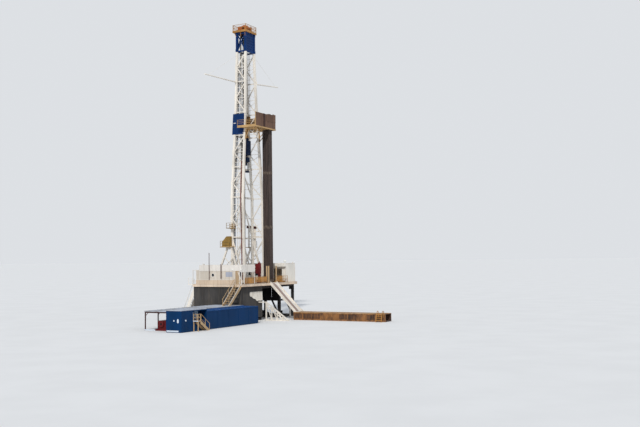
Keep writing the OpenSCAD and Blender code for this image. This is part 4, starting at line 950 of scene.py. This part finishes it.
STRUT_X, STRUT_END, STRUT_Z = 2.95, 5.05, 1.5
struts = Shape()
for y in (-1.95, 1.95):
    low_a, low_b = Vector((STRUT_X, y, STRUT_Z - 0.30)), Vector((STRUT_END - 0.42, y, 0.06))
    top_a, top_b = Vector((STRUT_X, y, STRUT_Z)), Vector((STRUT_END, y, 0.05))
    struts.bar(low_a, low_b, 0.06, 0.05)
    for i in range(1, 8):
        struts.bar(top_a.lerp(top_b, i / 8), low_a.lerp(low_b, i / 8 - 0.06), 0.034, 0.034)
    for z in (0, STRUT_Z - 0.14):
        struts.box(STRUT_X - 0.07, y - 0.075, z, STRUT_X + 0.07, y + 0.075, z + 0.02)
    struts.box(STRUT_END - 0.1, y - 0.07, 0, STRUT_END + 0.06, y + 0.07, 0.014)
    for x in evenly(STRUT_X + 0.525, 0.525, 3):
        struts.cheeks(x - 0.07, 0.09, x + 0.07, 0.20, y, 0.04, 0.052)
struts.made("strut_lattice_and_plates", white, "white_paint")


# Ramp, catwalk and stair

ramp_lo, ramp_hi = rig_box("v_door_ramp")
RAMP_W = (ramp_hi[1] - ramp_lo[1]) / 2
ramp_a, ramp_b = Vector((FRONT, 0, FLOOR)), Vector((4.88, 0, 0.65))
slope = (ramp_b - ramp_a).normalized()
up = Vector((-slope.z, 0, slope.x))
ramp = Shape()
for side in SIDES:
    y = side * (RAMP_W - 0.015)
    ramp.bar(ramp_a + Vector((0.01, y, 0.09)), ramp_b + Vector((0.04, y, 0.09)), 0.03, 0.06)
    for k in range(1, 9):
        at = ramp_a.lerp(ramp_b, k / 9)
        ramp.box(-0.012, side * (RAMP_W + 0.001), -0.14, 0.012, side * (RAMP_W + 0.012), 0.07, at)
half_rib = Vector((0, RAMP_W - 0.03, 0))
for k in range(1, 12):
    at = ramp_a.lerp(ramp_b, k / 12) - up * 0.085
    ramp.bar(at - half_rib, at + half_rib, 0.05, 0.05)
pale_strips = Shape()
wear = Shape()
strip_a, strip_b = ramp_a.lerp(ramp_b, 0.015), ramp_a.lerp(ramp_b, 0.985)
for strip, y0, y1 in ((pale_strips, -0.46, -0.36), (wear, -0.34, 0.14), (pale_strips, 0.16, 0.46)):
    corners = ((strip_a, y0), (strip_a, y1), (strip_b, y1), (strip_b, y0))
    low = [at + Vector((0, y, 0)) for at, y in corners]
    strip.prism(low, [at + up * 0.006 for at in low])
ramp.made("ramp_ribs_and_edges", white, "white_paint")
wear.made("ramp_wear_strips", worn_ramp, "white_paint")
pale_strips.made("ramp_pale_strips", roof_white, "white_paint")

cat = Shape()
cat_edge = Shape()
cat_plates = Shape()
frames_x = between(CAT_X0 + 0.04, CAT_X1 - 0.04, 10)
for y in (-0.525, 0.525):
    cat_edge.box(CAT_X0, y - 0.062, CAT_TOP - 0.022, CAT_X1, y + 0.062, CAT_TOP + 0.004)
    for i, (a, b) in enumerate(zip(frames_x[:-1], frames_x[1:])):
        for t in (0.35, 0.68):
            x = a + (b - a) * t
            cat.box(x - 0.012, y - 0.035, 0.12, x + 0.012, y + 0.035, CAT_TOP - 0.12)
        if i in (3, 4, 7):
            cat_plates.box(a + 0.06, y - 0.052, 0.13, b - 0.06, y + 0.052, CAT_TOP - 0.11)
for x in evenly(CAT_X0 + 0.3, 0.58, 14):
    cat.box(x, -0.46, CAT_TOP - 0.10, x + 0.05, 0.46, CAT_TOP - 0.062)
for y in (-0.13, 0.13):
    cat.bar((CAT_X0 + 0.05, y, CAT_TOP - 0.008), (CAT_X1 - 0.05, y, CAT_TOP - 0.008), 0.012, 0.012)
cat.made("catwalk_frames", catwalk_paint, "tan_paint")
cat_edge.made("catwalk_edge_strips", pale_edge, "tan_paint")
cat_plates.made("catwalk_side_plates", catwalk_paint, "tan_paint", bevel=0.003)

ladder = Shape(CAT_X1)
for x in (-0.60, -0.14):
    ladder.route([(x, -0.60, CAT_TOP - 0.30), (x, -0.60, CAT_TOP + 0.12), (x, -0.68, CAT_TOP + 0.22),
                  (x, -0.82, CAT_TOP + 0.18), (x, -0.94, CAT_TOP - 0.04), (x, -1.10, 0.013)], 0.024, 10)
for t in (0.25, 0.5, 0.75, 0.97):
    y, z = -1.10 + 0.16 * t, (CAT_TOP - 0.04) * t + 0.013
    ladder.box(-0.60, y - 0.02, z - 0.012, -0.14, y + 0.10, z + 0.012)
ladder.made("catwalk_end_ladder", rail_ochre, "yellow_paint")

STAIR_X, STAIR_W = FRONT - 0.362, 0.59
stair_top, stair_low = Vector((STAIR_X, NEAR, FLOOR - 0.02)), Vector((STAIR_X, NEAR - 1.85, 1.40))
steps = Shape()
for i in range(1, 9):
    for y in evenly(-0.06, 0.037, 4):
        steps.box(-0.27, y, 0, 0.27, y + 0.024, 0.006, stair_top.lerp(stair_low, i / 9))
steps.made("stair_tread_bars", plank, "tan_paint")
stringer = Shape()
for x in (STAIR_W / 2 + 0.013, -STAIR_W / 2 - 0.013):
    stringer.bar(stair_top + Vector((x, -0.03, 0.02)), stair_low + Vector((x, 0.04, 0.03)), 0.02, 0.045)
stringer.made("stair_edge_bars", white, "white_paint")


# Blue building; its pieces count from its end wall

LONG_TOP, END_TOP = 1.315, 1.5
split, blue_l = SPLIT - BLUE_Y0, BLUE_Y1 - BLUE_Y0
blue_trim = Shape(0, BLUE_Y0)
for y, top in ((0.002, END_TOP), (1.30, END_TOP), (split - 0.05, END_TOP), (blue_l - 0.052, LONG_TOP)):
    for x in (BLUE_X1, BLUE_X0 - 0.012):
        blue_trim.box(x, y, 0.06, x + 0.012, y + 0.05, top)
for y0, y1, top in ((0.002, 1.30, END_TOP), (split, blue_l - 0.002, LONG_TOP)):
    for z in (0.06, top - 0.07):
        blue_trim.box(BLUE_X1, y0, z, BLUE_X1 + 0.014, y1, z + 0.06)
for z in (0.06, LONG_TOP - 0.07):
    blue_trim.box(BLUE_X0 - 0.014, 0.002, z, BLUE_X0, blue_l, z + 0.06)
for x in (BLUE_X0 + 0.02, BLUE_X1 - 0.07):
    blue_trim.box(x, blue_l, 0.06, x + 0.05, blue_l + 0.012, LONG_TOP)
for y in between(split, blue_l, 5)[1:-1]:
    blue_trim.box(BLUE_X1, y - 0.02, 0.12, BLUE_X1 + 0.008, y + 0.02, LONG_TOP - 0.07)
# lifting lugs and door frame of the porch
for y in (0.1, 1.2, split + 0.15, blue_l - 0.2):
    blue_trim.box(BLUE_X1, y, 0.02, BLUE_X1 + 0.016, y + 0.14, 0.10)
blue_trim.box(3.45, 2.30, 0.76, 3.462, 2.34, 1.43)
blue_trim.made("blue_building_trim", blue_wall, "blue_paint")

# Pale fittings of the end wall and the porch
WALL_FACE, WALL_IN = -0.0015, 0.01
fittings = Shape(0, BLUE_Y0)
fittings.box(BLUE_X0 + 0.03, WALL_FACE, 0.045, BLUE_X0 + 1.06, WALL_IN, 0.15)
fittings.box(0.03, 1.0, 0, 1.0, 1.1, 0.08)
fittings.box(BLUE_X1 - 0.02, 1.33, 0.66, BLUE_X1 + 0.012, 1.37, 1.36)
fittings.box(BLUE_X1, 1.36, 0.70, BLUE_X1 + 0.435, 1.384, 0.765)
fittings.rod((BLUE_X1, 0.5, 0.82), (BLUE_X1 + 0.03, 0.5, 0.82), 0.06, 20)
discs = Shape(0, BLUE_Y0)
discs.axle(3.42, 0.82, WALL_FACE, WALL_IN, 0.055, 20)
oval = [(3.76 + 0.075 * math.cos(a), 0.805 + 0.075 * math.sin(a) + math.copysign(0.065, math.sin(a)))
        for a in evenly(math.pi / 20, math.pi / 10, 20)]
discs.prism([(x, WALL_FACE, z) for x, z in oval], [(x, WALL_IN, z) for x, z in oval])
discs.made("end_wall_fittings", pale_fitting, "pale_roof")
fittings.made("pale_fittings", pale_fitting, "pale_roof", bevel=0.002)


# Roofs and shed

SHED_Y0, SHED_Y1 = -14.0, -5.06
roof = Shape()
for y0, y1, gaps, x0, x1, z0, z1 in (
        (SPLIT, BLUE_Y1, 14, BLUE_X0 + 0.01, BLUE_X1 - 0.01, 1.355, 1.372),
        (BLUE_Y0, SPLIT, 6, BLUE_X0 + 0.01, BLUE_X1 - 0.01, 1.54, 1.557),
        (SHED_Y0, SHED_Y1, 18, 0.01, 2.74, 1.40, 1.414)):
    for y in between(y0, y1, gaps)[1:-1]:
        roof.box(x0, y, z0, x1, y + 0.022, z1)
roof.made("roof_seams", roof_paint, "pale_roof")

POST_X0, POST_X1 = 0.06, 2.69
fascia = Shape()
for x in (POST_X0, POST_X1):
    fascia.box(x - 0.03, SHED_Y0 + 0.02, 1.27, x + 0.03, SHED_Y1 - 0.02, 1.338)
for y in between(SHED_Y0 + 0.06, SHED_Y1 - 0.06, 6):
    fascia.box(POST_X0 + 0.03, y - 0.02, 1.25, POST_X1 - 0.04, y + 0.02, 1.338)
    for x, inward in ((POST_X0, 0.26), (POST_X1, -0.26)):
        fascia.bar((x, y, 1.02), (x + inward, y, 1.27), 0.03, 0.03)
        fascia.box(x - 0.06, y - 0.06, 0, x + 0.06, y + 0.06, 0.012)
fascia.made("shed_beams_and_feet", post_red, "brown_sheet")

# Mud pump, from its outer front corner
PUMP_X, PUMP_Y = 2.6577, -13.985
pump = Shape(PUMP_X, PUMP_Y)
pump_caps = Shape(PUMP_X, PUMP_Y)
for y in evenly(0.42, 0.28, 3):
    pump.rod((-0.95, y, 0.30), (-0.30, y, 0.30), 0.09, 16)
    pump.rod((-0.36, y, 0.30), (-0.28, y, 0.30), 0.13, 16)
    pump_caps.post(-0.62, y, 0.46, 0.58, 0.08, 16)
for x in evenly(-1.60, 0.125, 6):
    pump.box(x, 0.275, 0.16, x + 0.02, 0.285, 0.66)
pump.axle(-1.3, 0.46, 0.19, 0.285, 0.22, 24)
pump_caps.axle(-1.3, 0.46, 0.17, 0.20, 0.07, 16)
for y in (0, 1.255):
    pump.box(-1.745, y, 0.105, 0, y + 0.03, 0.13)
for x in evenly(-1.70, 0.41, 5):
    pump.box(x, 0.03, 0.105, x + 0.06, 1.255, 0.125)
pump.made("mud_pump_fittings", red, "red_paint", bevel=0.002)
pump_caps.made("mud_pump_caps", black, "dark_grey_paint")

# Jaws, rollers and cover of the red pipe-handling machine
rough = Shape(z=FLOOR)
for z in (0.86, 1.12, 1.38):
    rough.box(0.80, -0.25, z, 0.86, 0.15, z + 0.14)
for y in (-0.16, 0.06):
    rough.post(0.83, y, 0.8, 1.58, 0.035, 10)
rough.box(1.18, -0.14, 0.3, 1.205, 0.04, 1.5)
rough.post(1.115, -0.05, 1.70, 1.80, 0.05, 12)
rough.made("iron_roughneck_jaws", red, "red_paint", bevel=0.004)


# Sheet of cloth hung on the front wind wall, with a ragged lower edge

(TARP_X, tarp_y0, _), (_, tarp_y1, TARP_TOP) = rig_box("white_tarp")
TARP_DROPS = (1.64, 1.59, 1.62, 1.58, 1.76, 1.83, 1.96, 2.04)
ACROSS, DOWN = 96, 48


def tarp_point(u, v):
    """Point of the cloth; u runs outwards from the well side, v down."""
    k = min(int(u * 7), 6)
    low = TARP_DROPS[k] + (TARP_DROPS[k + 1] - TARP_DROPS[k]) * (u * 7 - k)
    low += 0.035 * noise.noise((u * 23, 0.3, 5.1)) + 0.015 * noise.noise((u * 61, 2.3, 1.7))
    sag = 0.018 * (0.5 - 0.5 * math.cos(2 * math.pi * u * 6)) * (1 - v)
    fold = 0.014 * math.sin(2 * math.pi * (4.6 * u + 0.35 * v))
    fold += 0.008 * math.sin(2 * math.pi * (11.3 * u - 0.8 * v))
    crease = 0.010 * noise.noise((u * 9 + v * 4, v * 6 - u * 3, 0.7))
    out = 0.004 + (0.3 + 0.7 * v) * (0.022 + fold * (0.25 + 0.75 * v) + crease)
    y = tarp_y1 + (tarp_y0 - tarp_y1) * u
    return (TARP_X + max(out, 0.003), y, TARP_TOP - sag + (low - TARP_TOP) * v)


sheet = Shape()
row = ACROSS + 1
sheet.solid([tarp_point(i / ACROSS, j / DOWN) for j in range(DOWN + 1) for i in range(row)],
            [[k, k + 1, k + row + 1, k + row] for j in range(DOWN) for k in range(j * row, j * row + ACROSS)])
tarp_cloth = sheet.made("white_tarp_cloth", tarp, "white_sheet")
tarp_cloth.data.shade_smooth()
tarp_cloth.modifiers.new("thickness", "SOLIDIFY").thickness = 0.003
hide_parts("white_tarp")
ties = Shape(TARP_X, tarp_y1 - 0.02, TARP_TOP - 0.012)
for y in between(0, (tarp_y0 - tarp_y1) * 0.98, 6):
    ties.rod((-0.002, y, 0), (0.016, y, 0), 0.010)
ties.made("tarp_ties", rope, "wire_rope")


# Light and ground

def sun(name, energy, direction, size, colour=(1, 1, 1)):
    data = bpy.data.lights.new(name, "SUN")
    data.energy = energy
    data.color = colour
    data.angle = math.radians(size)
    obj = placed(name, data)
    obj.rotation_mode = "QUATERNION"
    obj.rotation_quaternion = Vector(direction).to_track_quat("-Z", "Y")


sun("key", 2.3, (-0.30, 0.75, -0.62), 3, (1.0, 0.97, 0.92))
sun("fill", 0.25, (-0.9, 0.1, -0.5), 30)

# the sky lights the rig, and a pale backdrop is what the camera and mirror rays see
world = bpy.data.worlds.new("studio")
bpy.context.scene.world = world
world.use_nodes = True
tree = world.node_tree
tree.nodes.clear()
sky = add_node(tree, "Background", {"Color": (0.80, 0.88, 1.0, 1), "Strength": 0.55})
seen = add_node(tree, "Background", {"Color": (0.725, 0.748, 0.778, 1), "Strength": 1.0})
rays = add_node(tree, "LightPath", {}).outputs
direct = 0
for ray in ("Is Camera Ray", "Is Glossy Ray", "Is Transmission Ray"):
    direct = add_node(tree, "Math", {0: rays[ray], 1: direct}, operation="MAXIMUM").outputs[0]
blend = add_node(tree, "MixShader", {0: direct, 1: sky.outputs[0], 2: seen.outputs[0]})
add_node(tree, "OutputWorld", {"Surface": blend.outputs[0]})

R = 2500
floor_mesh = bpy.data.meshes.new("floor")
floor_mesh.from_pydata([(-R, -R, 0), (R, -R, 0), (R, R, 0), (-R, R, 0)], [], [(0, 1, 2, 3)])
f = Nodes("pale_floor")
pale = f.mix(f.ramp(f.noise(0.3), 0.3, 0.7), (0.76, 0.76, 0.755, 1), (0.79, 0.79, 0.785, 1))
floor_mesh.materials.append(f.finish(pale, 0.95))
placed("floor", floor_mesh)

bpy.context.scene.view_settings.view_transform = "Standard"
